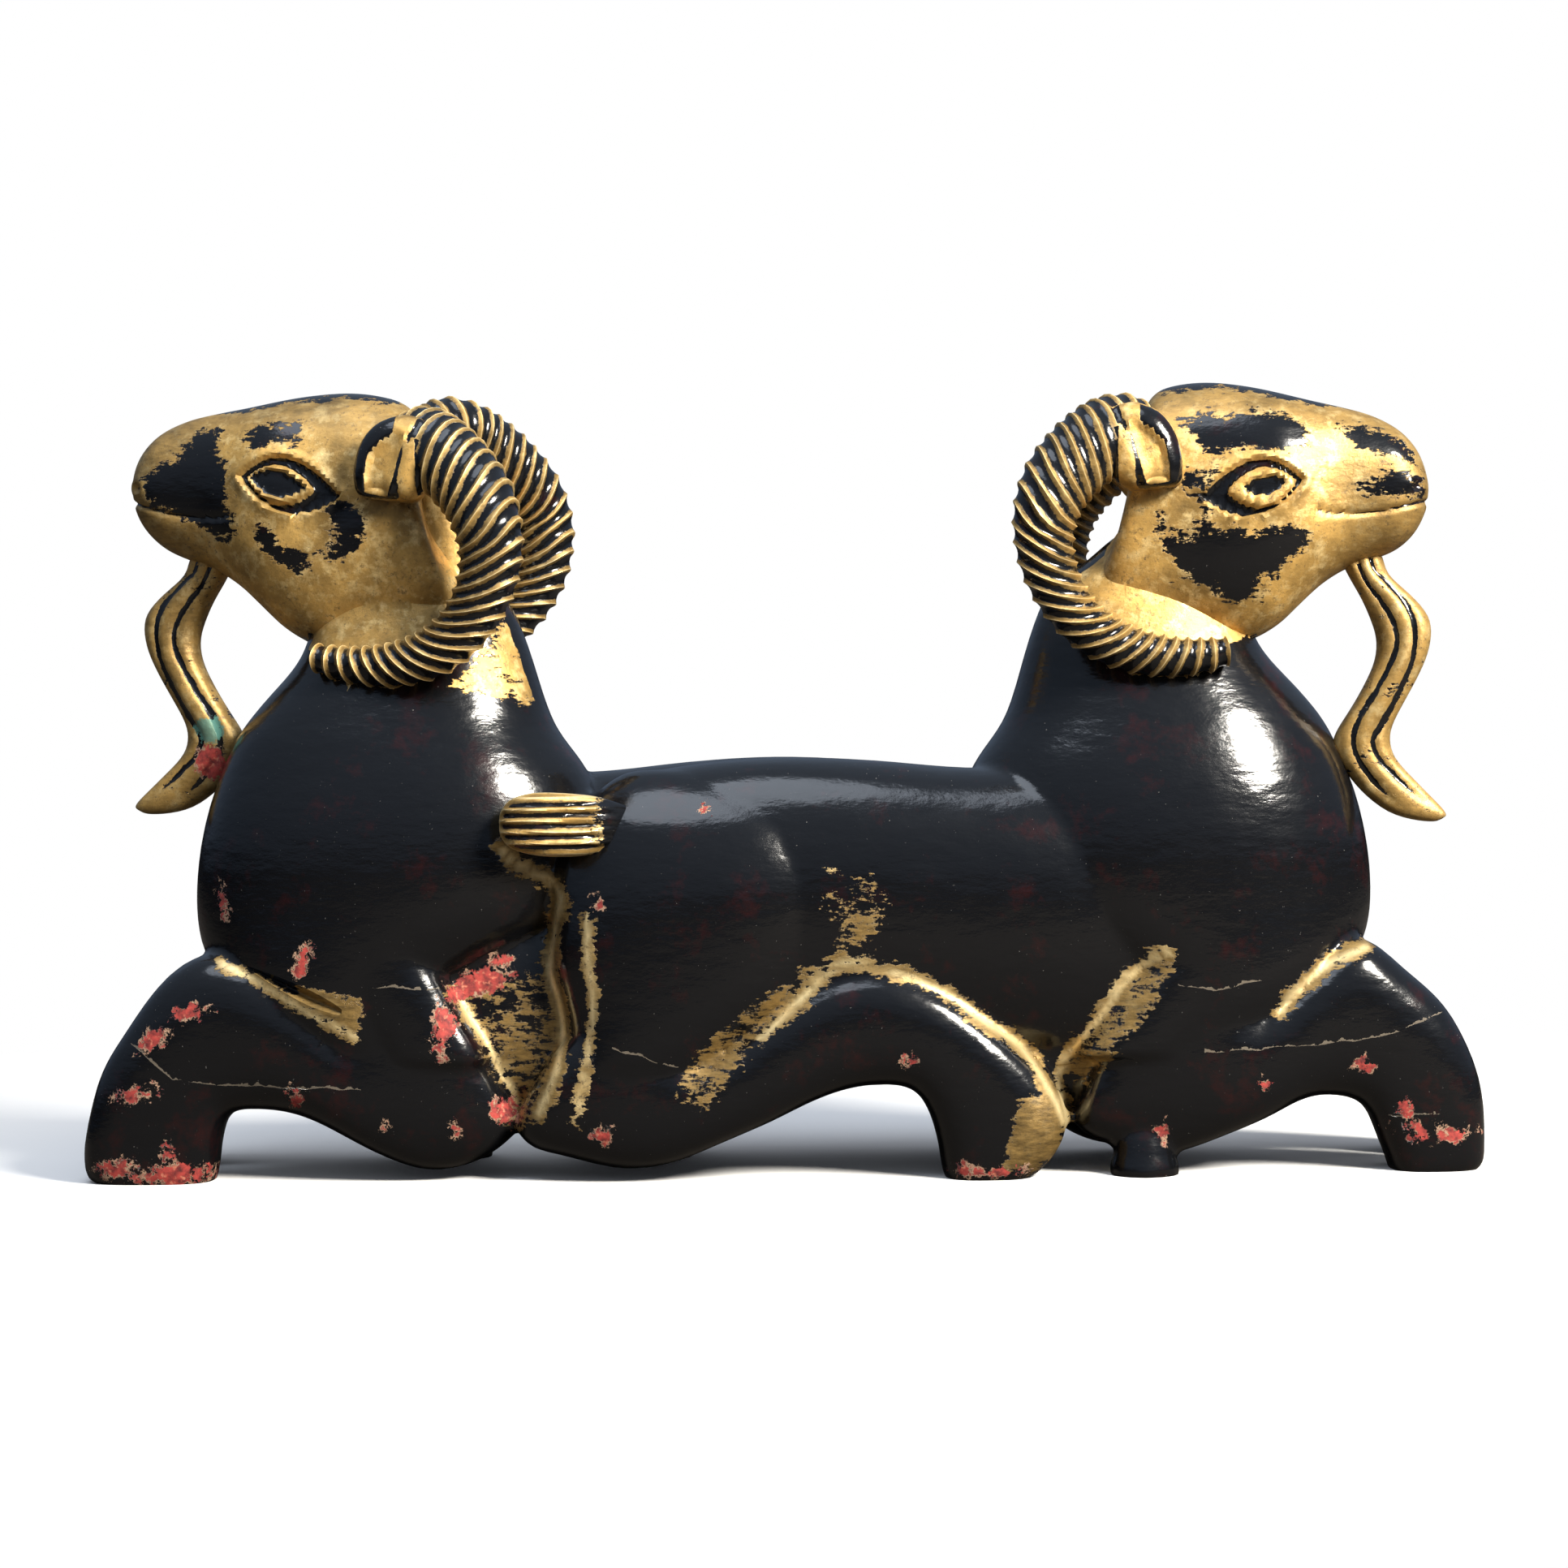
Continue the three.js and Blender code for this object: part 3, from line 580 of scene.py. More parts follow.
def body_masses(own):
    masses = [
        grow("chest", level([[z, b, f, -d, d] for z, b, f, d in CHEST]), sides=40, count=32,
            squareness=2.25),
        grow("barrel", upright([[x, u, t, BARREL_Y - d, BARREL_Y + d] for x, u, t, d in BARREL])),
        grow("haunch", level([[z, r, f, -d, HAUNCH_INNER_Y] for z, r, f, d in HAUNCH])),
        hind_leg(own),
        foreleg(own, RIGHT_FORELEG, -1, 0),
        foreleg(own, LEFT_FORELEG, 1, own["left_hoof_shift"]),
    ]
    if own["full_nape"]:
        sections = [[z, r, f, -NAPE_HALF_DEPTH, NAPE_HALF_DEPTH] for z, r, f in NAPE]
        masses.append(grow("nape", level(sections), count=12))
    for side in (-1, 1):
        inner, outer = side * UPPER_ARM_INNER_Y, side * UPPER_ARM_OUTER_Y
        sections = [[z, r, f, inner, outer] for z, r, f in UPPER_ARM[side]]
        masses.append(grow("upper_arm", level(sections), count=16, squareness=2.9))
    foot_x = ELBOW_FOOT_X + own["elbow_foot_shift"]
    foot = level([[z, foot_x - r, foot_x + r, ELBOW_FOOT_Y - r, ELBOW_FOOT_Y + r] for z, r in ELBOW_FOOT])
    masses.append(grow("elbow_foot", foot, sides=20, count=8, squareness=2))
    return [turned(m, own) for m in masses]


def stand_flat(obj):
    """Cuts the feet level with the ground."""
    select_only(obj)
    bpy.ops.object.mode_set(mode="EDIT")
    bpy.ops.mesh.select_all(action="SELECT")
    bpy.ops.mesh.bisect(plane_co=(0, 0, 0), plane_no=(0, 0, 1), use_fill=True, clear_inner=True,
        threshold=1e-6)
    bpy.ops.object.mode_set(mode="OBJECT")


def make_bodies(settings):
    core = [[x, u, t, -d, d] for x, u, t, d in BELLY]
    core += [[-x, u, t, y0, y1] for x, u, t, y0, y1 in reversed(core[:-1])]
    masses = [grow("belly", upright(core), squareness=2.6)]
    for own in RAMS:
        masses += body_masses(own)
    body = joined("body", masses)
    finish_with(body, "REMESH", mode="VOXEL", voxel_size=settings.grain)
    finish_with(body, "SMOOTH", factor=0.5, iterations=settings.sanding)
    finish_with(body, "DECIMATE", ratio=BODY_TRIANGLES / (2 * len(body.data.polygons)))
    cuts = [turned(notch(side), own) for own in RAMS for side in (-1, 1)]
    for cut in cuts:
        boolean(body, cut, "DIFFERENCE")
    stand_flat(body)
    set_field(body, "kind", np.full(len(body.data.vertices), BODY))
    set_field(body, "hollow", np.zeros(len(body.data.vertices)))
    return body


# The heads.


def head_place(own):
    """From a head's own frame to the world: drawn out, raised, turned on the neck, and set on its ram."""
    rise = Matrix.Identity(4)
    rise[2][0] = own["head_rise"]
    return (
        Matrix.Rotation(own["turn"], 4, "Z")
        @ Matrix.Translation(((NECK_AXIS_X + own["head_forward"]) * MM, 0, 0))
        @ Matrix.Rotation(-HEAD_TURN, 4, "Z")
        @ Matrix.Diagonal((own["head_stretch"], 1, 1, 1))
        @ rise
        @ Matrix.Translation((-NECK_AXIS_X * MM, 0, 0))
    )


def lifted_eye(shape, lift):
    return {k: [x, z + lift] for k, (x, z) in shape.items()}


def reached(shape, reach):
    """The almond drawn larger or smaller about its middle."""
    middle = np.mean([shape["rear"], shape["front"]], axis=0)
    return {k: list(middle + (np.array(v) - middle) * reach) for k, v in shape.items()}


def carve_head(head, own):
    """Cuts the eyes, mouth and nostrils into the head by moving its points along their normals."""
    points = points_of(head) / MM
    normals = normals_of(head)
    flat = points[:, [0, 2]]
    aside = smoothstep(np.abs(normals[:, 1]), 0.25, 0.55) * (np.abs(points[:, 1]) > 12)
    eye = inside_distance(flat, almond(lifted_eye(EYE, own["eye_lift"])))
    lid = inside_distance(flat, almond(lifted_eye(EYE_LID, own["eye_lift"])))
    pupil = inside_distance(flat, almond(lifted_eye(reached(PUPIL, own["pupil_reach"]), own["eye_lift"])))
    groove = smoothstep(eye, -0.6, 1.2) * (1 - smoothstep(lid, -1.0, 0.7))
    rim = smoothstep(eye, -5, -1.2) * (1 - smoothstep(eye, -1.0, 0.6))
    depth = EYE_DEPTH * groove - 0.9 * rim + PUPIL_DEPTH * smoothstep(pupil, -0.4, 0.6)
    depth -= 0.5 * smoothstep(lid, 0, 1) * (1 - smoothstep(pupil, -0.6, 0.2))
    crease = np.exp(-((line_distance(flat, TEMPLE_CREASE) / 1.3) ** 2))
    side_only = np.abs(points[:, 1]) > 5
    lips = line_distance(flat, along(MOUTH, 24))
    mouth = np.exp(-((lips / 1.1) ** 2))
    nostril = np.linalg.norm(flat - NOSTRIL, axis=1)
    ring = np.exp(-((nostril / 1.5) ** 2)) - 0.5 * np.exp(-(((nostril - 3) / 1.1) ** 2))
    total = depth * aside + 1.1 * crease * aside + 1.5 * mouth + 1.3 * ring * side_only
    set_points(head, (points - normals * total[:, None]) * MM)
    # Dark marks for the material: black paint in the eye grooves and pupils, and painted shade in the mouth,
    # the temple crease and the nostrils.
    hollow = aside * np.maximum(groove, smoothstep(pupil, -0.3, 0.3)) + 0.75 * mouth
    hollow += 0.8 * crease * aside + 0.8 * np.exp(-((nostril / 1.6) ** 2)) * side_only
    set_field(head, "hollow", np.clip(hollow, 0, 1))


def refine_near(obj, centre, reach, cuts):
    """Divides the faces round a place more finely, on both sides of the head."""
    select_only(obj)
    bpy.ops.object.mode_set(mode="EDIT")
    bpy.ops.mesh.select_mode(type="FACE")
    bpy.ops.mesh.select_all(action="DESELECT")
    bpy.ops.object.mode_set(mode="OBJECT")
    count = len(obj.data.polygons)
    centres = np.empty(count * 3)
    obj.data.polygons.foreach_get("center", centres)
    offset = (centres.reshape(-1, 3)[:, [0, 2]] / MM - centre) / reach
    obj.data.polygons.foreach_set("select", (offset**2).sum(axis=1) < 1)
    bpy.ops.object.mode_set(mode="EDIT")
    bpy.ops.mesh.subdivide(number_cuts=cuts, smoothness=0)
    bpy.ops.object.mode_set(mode="OBJECT")


def make_head(own):
    ribs = [[x0, z0, x1, z1, -d, d] for x0, z0, x1, z1, d in HEAD]
    head = grow("head_" + own["name"], ribs, sides=38, count=40, squareness=2.35)
    refine_near(head, (211, 296 + own["eye_lift"]), (25, 16), 2)
    refine_near(head, (265, 287), (28, 12), 1)
    face_outwards(head)
    carve_head(head, own)
    set_field(head, "kind", np.full(len(head.data.vertices), SKULL))
    head.data.transform(head_place(own))
    return head


def make_ear(own, side):
    """A drooping leaf: a rim and a hollow panel in front, and a rounded fold behind."""
    rows = [[x0, z0, x1, z1, side * inner, side * outer] for x0, z0, x1, z1, inner, outer in EAR]
    ear = grow("ear", rows, sides=30, count=20, squareness=2.7)
    points = points_of(ear) / MM
    normals = normals_of(ear)
    flat = points[:, [0, 2]]
    outer = smoothstep(normals[:, 1] * side, 0.2, 0.6)
    panel = smoothstep(inside_distance(flat, EAR_PANEL), -0.8, 1.6)
    fold = np.exp(-((line_distance(flat, EAR_FOLD) / 1.5) ** 2))
    total = outer * (3.0 * panel + 1.4 * fold)
    set_points(ear, (points - normals * total[:, None]) * MM)
    # Dark marks for the material: the fold and the side facing the head are painted shade; the rim by the
    # panel and the rear lobe are black.
    rim = smoothstep(inside_distance(flat, EAR_PANEL), 0.4, -0.6) * smoothstep(flat[:, 0], 161, 164)
    lobe = smoothstep(flat[:, 0], 155.5, 152.5)
    set_field(ear, "hollow", np.clip(outer * (0.9 * fold + 0.95 * rim + lobe) + 0.55 * (1 - outer), 0, 1))
    set_field(ear, "kind", np.full(len(ear.data.vertices), EAR_KIND))
    ear.data.transform(head_place(own))
    return ear


def make_horn(settings):
    """The right horn: a tube ringed along its curl, each ridge swept towards the root on the outside."""
    sides, steps = 22, 5
    bpy.ops.object.select_all(action="DESELECT")
    bpy.ops.mesh.primitive_cylinder_add(vertices=sides, radius=1, depth=1, end_fill_type="NGON",
        location=(0, 0, 0))
    horn = bpy.context.object
    horn.name = "horn"
    bpy.ops.object.mode_set(mode="EDIT")
    bpy.ops.mesh.select_mode(type="EDGE")
    bpy.ops.mesh.select_all(action="DESELECT")
    bpy.ops.object.mode_set(mode="OBJECT")
    for edge in horn.data.edges:
        low, high = (horn.data.vertices[v].co.z for v in edge.vertices)
        edge.select = abs(low - high) > 0.5
    bpy.ops.object.mode_set(mode="EDIT")
    bpy.ops.mesh.subdivide(number_cuts=settings.ridges - 1)
    bpy.ops.mesh.select_all(action="DESELECT")
    bpy.ops.object.mode_set(mode="OBJECT")
    for edge in horn.data.edges:
        low, high = (horn.data.vertices[v].co.z for v in edge.vertices)
        edge.select = abs(low - high) > 0.5 / settings.ridges
    bpy.ops.object.mode_set(mode="EDIT")
    bpy.ops.mesh.subdivide(number_cuts=steps - 1)
    bpy.ops.object.mode_set(mode="OBJECT")
    tube = points_of(horn)
    fine = along(HORN, 600)
    length = np.concatenate([[0], np.cumsum(np.linalg.norm(np.diff(fine[:, :3], axis=0), axis=1))])
    t = np.clip(0.5 - tube[:, 2], 0, 1)
    phase = t * settings.ridges
    fade = np.sin(math.pi * np.clip(t, 0.03, 0.97))
    swept = np.clip(t - tube[:, 0] * HORN_SWEEP * fade / length[-1], 0, 1) * length[-1]
    here = np.stack([np.interp(swept, length, fine[:, k]) for k in range(3)], axis=1)
    ahead = np.stack([np.interp(swept + 0.5, length, fine[:, k]) for k in range(3)], axis=1)
    behind = np.stack([np.interp(swept - 0.5, length, fine[:, k]) for k in range(3)], axis=1)
    tangent = ahead - behind
    tangent /= np.linalg.norm(tangent, axis=1)[:, None]
    outward = np.stack([tangent[:, 2], np.zeros(len(t)), -tangent[:, 0]], axis=1)
    outward /= np.linalg.norm(outward, axis=1)[:, None]
    sideways = np.cross(tangent, outward)
    radii = np.stack([np.interp(t * length[-1], length, fine[:, k]) for k in (3, 4)], axis=1)
    trough = np.abs(np.sin(math.pi * phase)) ** 0.75
    cut = settings.ridge_depth / MM * trough
    place = here + outward * (tube[:, :1] * (radii[:, :1] - cut[:, None]))
    place += sideways * (tube[:, 1:2] * (radii[:, 1:] - cut[:, None]))
    set_points(horn, place * MM)
    # Dark marks for the material: the troughs are painted shade, a little stronger towards the outward edge;
    # where the field stays near nought, on the crests, the material paints a highlight.
    set_field(horn, "hollow", np.clip(trough * (0.86 + 0.14 * tube[:, 0]), 0, 1))
    set_field(horn, "kind", np.full(len(t), HORN_KIND))
    face_outwards(horn)
    return horn


def make_tail(own):
    """The tail's tuft, laid on the rump, with crests along it."""
    ribs = upright([[x, u, t, -d, TAIL_INNER_Y] for x, u, t, d in TAIL])
    tail = grow("tail", ribs, sides=40, count=20, squareness=2.5)
    points = points_of(tail) / MM
    normals = normals_of(tail)
    outer = smoothstep(-normals[:, 1], 0.05, 0.5) * smoothstep(points[:, 0], -66, -82)
    trough = 0.5 - 0.5 * np.cos(2 * math.pi * (points[:, 2] - 141.5) / 4.9)
    set_points(tail, (points - normals * (1.9 * trough * outer)[:, None]) * MM)
    # Dark marks for the material: the troughs are painted shade, and where the field stays near nought the
    # material paints a highlight.
    set_field(tail, "hollow", trough * outer)
    set_field(tail, "kind", np.full(len(points), TAIL_KIND))
    return turned(tail, own)


def make_beard(own):
    """A hanging, bent beard with two lengthwise grooves on each side."""
    ribs = [[x0 - own["beard_back"], z0, x1 - own["beard_back"], z1, -d, d] for x0, z0, x1, z1, d in BEARD]
    beard = grow("beard", ribs, sides=28, count=28, squareness=2.3)
    inner = along(BEARD, 200)
    points = points_of(beard) / MM
    normals = normals_of(beard)
    low, high = inner[:, :2] - [own["beard_back"], 0], inner[:, 2:4] - [own["beard_back"], 0]
    span = high - low
    flat = points[:, [0, 2]]
    nearest = np.argmin(
        np.linalg.norm(flat[:, None, :] - ((low + high) / 2)[None], axis=2), axis=1
    )
    across = ((flat - low[nearest]) * span[nearest]).sum(axis=1) / (span[nearest] ** 2).sum(axis=1)
    sides = smoothstep(np.abs(normals[:, 1]), 0.2, 0.6)
    ends = smoothstep(flat[:, 1], 152, 168)
    grooves = [np.exp(-(((across - place) / 0.07) ** 2)) for place in (0.36, 0.7)]
    trough = sum(grooves) * sides * ends
    set_points(beard, (points - normals * (1.4 * trough)[:, None]) * MM)
    # The grooves are marked dark for the material, as painted shade.
    set_field(beard, "hollow", np.clip(trough, 0, 1))
    set_field(beard, "kind", np.full(len(points), BEARD_KIND))
    beard.data.transform(head_place(own))
    return beard


def horn_of(model, own, side):
    horn = copy_of(model, "horn")
    if side < 0 and own["right_horn_lift"]:
        horn.data.transform(Matrix.Translation((0, 0, own["right_horn_lift"] * MM)))
    if side > 0:
        mirrored(horn)
    horn.data.transform(head_place(own))
    return horn


# The paint, with its painted shade and painted highlights, as fields over the finished surface.


def remember(parts):
    """The kind of surface and how hollow it is, found again by place after the parts are united."""
    points = np.vstack([points_of(p) for p in parts])
    kinds = np.concatenate([field_of(p, "kind") for p in parts])
    hollows = np.concatenate([field_of(p, "hollow") for p in parts])
    tree = KDTree(len(points))
    for i, p in enumerate(points):
        tree.insert(p, i)
    tree.balance()
    return tree, kinds, hollows


def chip_distance(flat, chips):
    """Signed distance to the nearest chip, negative inside it."""
    best = np.full(len(flat), 20.0)
    for x, z, half_length, half_height, lean in chips:
        turn = math.radians(lean)
        step = flat - [x, z]
        a = step[:, 0] * math.cos(turn) + step[:, 1] * math.sin(turn)
        b = step[:, 1] * math.cos(turn) - step[:, 0] * math.sin(turn)
        radius = np.sqrt((a / half_length) ** 2 + (b / half_height) ** 2)
        best = np.minimum(best, (radius - 1) * min(half_length, half_height))
    return best


def paint_fields(carving, memory):
    tree, kinds, hollows = memory
    world = points_of(carving)
    normals = normals_of(carving)
    near = np.array([tree.find(p)[1] for p in world])
    kind = kinds[near]
    hollow = hollows[near]
    mm = world / MM
    gilt = np.where(kind == BODY, -14.0, 5.5)
    gilt = np.where(kind == HORN_KIND, 9.0, gilt)
    gilt = np.where(kind == BEARD_KIND, 2.2, gilt)
    dim = ((kind == BODY) & (mm[:, 2] < 200)).astype(float)
    painted_highlight = np.zeros(len(mm))
    for own in RAMS:
        facing = math.cos(own["turn"])
        mine = mm * [facing, facing, 1]
        flat = mine[:, [0, 2]]
        outward = normals[:, 1] * facing
        for mark in GILT_LINES:
            on_side = (mine[:, 1] * mark["side"] > 24) & (outward * mark["side"] > -0.45) & (kind == BODY)
            off_line = line_distance(flat, along(mark["line"], 40))
            strength = mark["half"] - off_line
            # A painted highlight along the middle of each gilt line, for the material.
            painted_highlight = np.where(on_side, np.maximum(painted_highlight, np.exp(-((off_line / 1.3) ** 2))), painted_highlight)
            gilt = np.where(on_side, np.maximum(gilt, np.maximum(strength, -14)), gilt)
        for mark in GILT_FIELDS:
            on_side = (mine[:, 1] * mark["side"] > 14) & (outward * mark["side"] > -0.45) & (kind == BODY)
            edge = inside_distance(flat, mark["outline"])
            strength = np.where(edge > 0, np.minimum(edge,
                3) * mark["cover"] - (1 - mark["cover"]) * 2.5, edge)
            gilt = np.where(on_side, np.maximum(gilt, np.maximum(strength, -14)), gilt)
        back = np.array(head_place(own).inverted())
        local = (world @ back[:3, :3].T + back[:3, 3]) / MM
        ours = (kind == SKULL) & (mine[:, 0] > 60)
        # Black where the gilding is worn on the heads, and painted shade over the muzzle of the left side
        # set.
        for side, patches in ((-1, RIGHT_HEAD_WEAR), (1, LEFT_HEAD_WEAR_AND_SHADE)):
            on_side = ours & (local[:, 1] * side > 0)
            for patch in patches:
                edge = inside_distance(local[:, [0, 2]], patch)
                gilt = np.where(on_side, np.minimum(gilt, 0.8 - edge * 0.62), gilt)
        dull = np.maximum(smoothstep(local[:, 2], 314, 335), smoothstep(local[:, 0], 236, 262))
        dim = np.where(ours, 0.7 * dull, dim)
        crown = ours & (local[:, 2] > 330) & (normals[:, 2] > 0.75)
        gilt = np.where(crown, np.minimum(gilt, 3 - (normals[:, 2] - 0.75) * 26), gilt)
        laid = (kind == TAIL_KIND) & (mine[:, 0] < 0)
        gilt = np.where(laid, (-76 - mine[:, 0]) * 0.5, gilt)
    front = np.where(kind == BEARD_KIND, normals[:, 1] < 0.3, mm[:, 1] < 0)
    flat = mm[:, [0, 2]]
    green = VERDIGRIS["radius"] - np.linalg.norm(flat - [VERDIGRIS["x"], VERDIGRIS["z"]], axis=1)
    chip = np.where(front, chip_distance(flat, FRONT_CHIPS), chip_distance(flat, BACK_CHIPS))
    between = (np.abs(mm[:, 1]) < 20) & (kind != BEARD_KIND)
    chip = np.where(between, np.maximum(chip, 4), chip)
    set_field(carving, "gilt", gilt)
    set_field(carving, "hollow", hollow)
    set_field(carving, "chip", np.clip(chip, -20, 20))
    set_field(carving, "ridged", (kind == HORN_KIND) | (kind == TAIL_KIND))
    set_field(carving, "dim", np.where(kind == BEARD_KIND, 0.45, dim))
    set_field(carving, "painted_highlight", painted_highlight)
    set_field(carving, "verdigris", np.where(front & (kind == BEARD_KIND), green, -20))


# The material.


class Sheet:
    """A node tree being drawn: adds nodes and links values or sockets into them."""

    def __init__(self, tree):
        self.tree = tree

    def add(self, kind, values=None, **settings):
        node = self.tree.nodes.new(kind)
        for name, value in settings.items():
            setattr(node, name, value)
        for name, value in (values or {}).items():
            if isinstance(value, bpy.types.NodeSocket):
                self.tree.links.new(value, node.inputs[name])
            else:
                node.inputs[name].default_value = value
        return node

    def math(self, operation, *values, clamp=False):
        node = self.add("ShaderNodeMath", dict(enumerate(values)), operation=operation)
        node.use_clamp = clamp
        return node.outputs[0]

    def mix(self, factor, a, b, blend="MIX"):
        node = self.add("ShaderNodeMix", data_type="RGBA", blend_type=blend)
        for socket, value in ((node.inputs[0], factor), (node.inputs[6], a), (node.inputs[7], b)):
            if isinstance(value, bpy.types.NodeSocket):
                self.tree.links.new(value, socket)
            else:
                socket.default_value = value
        return node.outputs[2]

    def blend(self, factor, a, b):
        node = self.add("ShaderNodeMix", data_type="FLOAT")
        for socket, value in ((node.inputs[0], factor), (node.inputs[2], a), (node.inputs[3], b)):
            if isinstance(value, bpy.types.NodeSocket):
                self.tree.links.new(value, socket)
            else:
                socket.default_value = value
        return node.outputs[0]

    def ramp(self, value, low, high):
        node = self.add("ShaderNodeMapRange", {"Value": value, "From Min": low, "From Max": high},
            clamp=True)
        return node.outputs[0]

    def noise(self, vector, scale, detail=4.0, roughness=0.55, stretch=None):
        if stretch is not None:
            vector = self.add("ShaderNodeMapping",
                {"Vector": vector, "Scale": stretch[0], "Rotation": stretch[1]})
            vector = vector.outputs[0]
        values = {"Vector": vector, "Scale": scale, "Detail": detail, "Roughness": roughness}
        return self.add("ShaderNodeTexNoise", values).outputs[0]


def effect(name, inputs, outputs, draw):
    """A shader node group with named sockets, drawn once."""
    group = bpy.data.node_groups.new(name, "ShaderNodeTree")
    for socket, kind in inputs:
        group.interface.new_socket(name=socket, in_out="INPUT", socket_type="NodeSocket" + kind)
    for socket, kind in outputs:
        group.interface.new_socket(name=socket, in_out="OUTPUT", socket_type="NodeSocket" + kind)
    sheet = Sheet(group)
    given = sheet.add("NodeGroupInput").outputs
    made = draw(sheet, given)
    result = sheet.add("NodeGroupOutput")
    for socket, value in made.items():
        group.links.new(value, result.inputs[socket])
    return group


def ragged_edge():
    """Turns a distance in mm into a mask with a torn, speckled edge."""

    def draw(s, given):
        broad = s.noise(given["Vector"], given["Scale"], 3.0, 0.6)
        fine = s.noise(given["Vector"], s.math("MULTIPLY", given["Scale"], 4.7), 6.0, 0.75)
        shift = s.math("ADD", s.math("MULTIPLY", s.math("SUBTRACT", broad, 0.5), 1.3),
            s.math("SUBTRACT", fine, 0.5))
        moved = s.math("ADD", given["Distance"], s.math("MULTIPLY", shift, given["Tear"]))
        return {"Mask": s.ramp(moved, -0.25, 0.25)}

    sockets = [("Vector", "Vector"), ("Distance", "Float"), ("Tear", "Float"), ("Scale", "Float")]
    return effect("Ragged edge", sockets, [("Mask", "Float")], draw)


def hairline():
    """A thin, slightly wandering crack between two places, as a mask on the side shown."""

    def draw(s, given):
        place = s.add("ShaderNodeSeparateXYZ", {"Vector": given["Vector"]}).outputs
        x, y, z = place[0], place[1], place[2]
        run = s.math("DIVIDE", s.math("SUBTRACT", x, given["X0"]),
            s.math("SUBTRACT", given["X1"], given["X0"]))
        line = s.math("ADD", given["Z0"], s.math("MULTIPLY", run,
            s.math("SUBTRACT", given["Z1"], given["Z0"])))
        wander = s.math("MULTIPLY", s.math("SUBTRACT", s.noise(given["Vector"], 130.0, 5.0, 0.6), 0.5),
            0.006)
        off = s.math("ABSOLUTE", s.math("SUBTRACT", z, s.math("ADD", line, wander)))
        broken = s.noise(given["Vector"], 260.0, 2.0, 0.5)
        width = s.math("MULTIPLY", s.math("MAXIMUM", s.math("SUBTRACT", broken, 0.36), 0.0), 0.0022)
        thin = s.math("LESS_THAN", off, width)
        inside = s.math("MULTIPLY", s.math("GREATER_THAN", run, 0.0), s.math("LESS_THAN", run, 1.0))
        front = s.math("LESS_THAN", y, -0.02)
        return {"Mask": s.math("MULTIPLY", s.math("MULTIPLY", thin, inside), front)}

    sockets = [("Vector", "Vector")] + [(n, "Float") for n in ("X0", "Z0", "X1", "Z1")]
    return effect("Hairline crack", sockets, [("Mask", "Float")], draw)


def rgba(colour):
    return (*colour, 1.0)


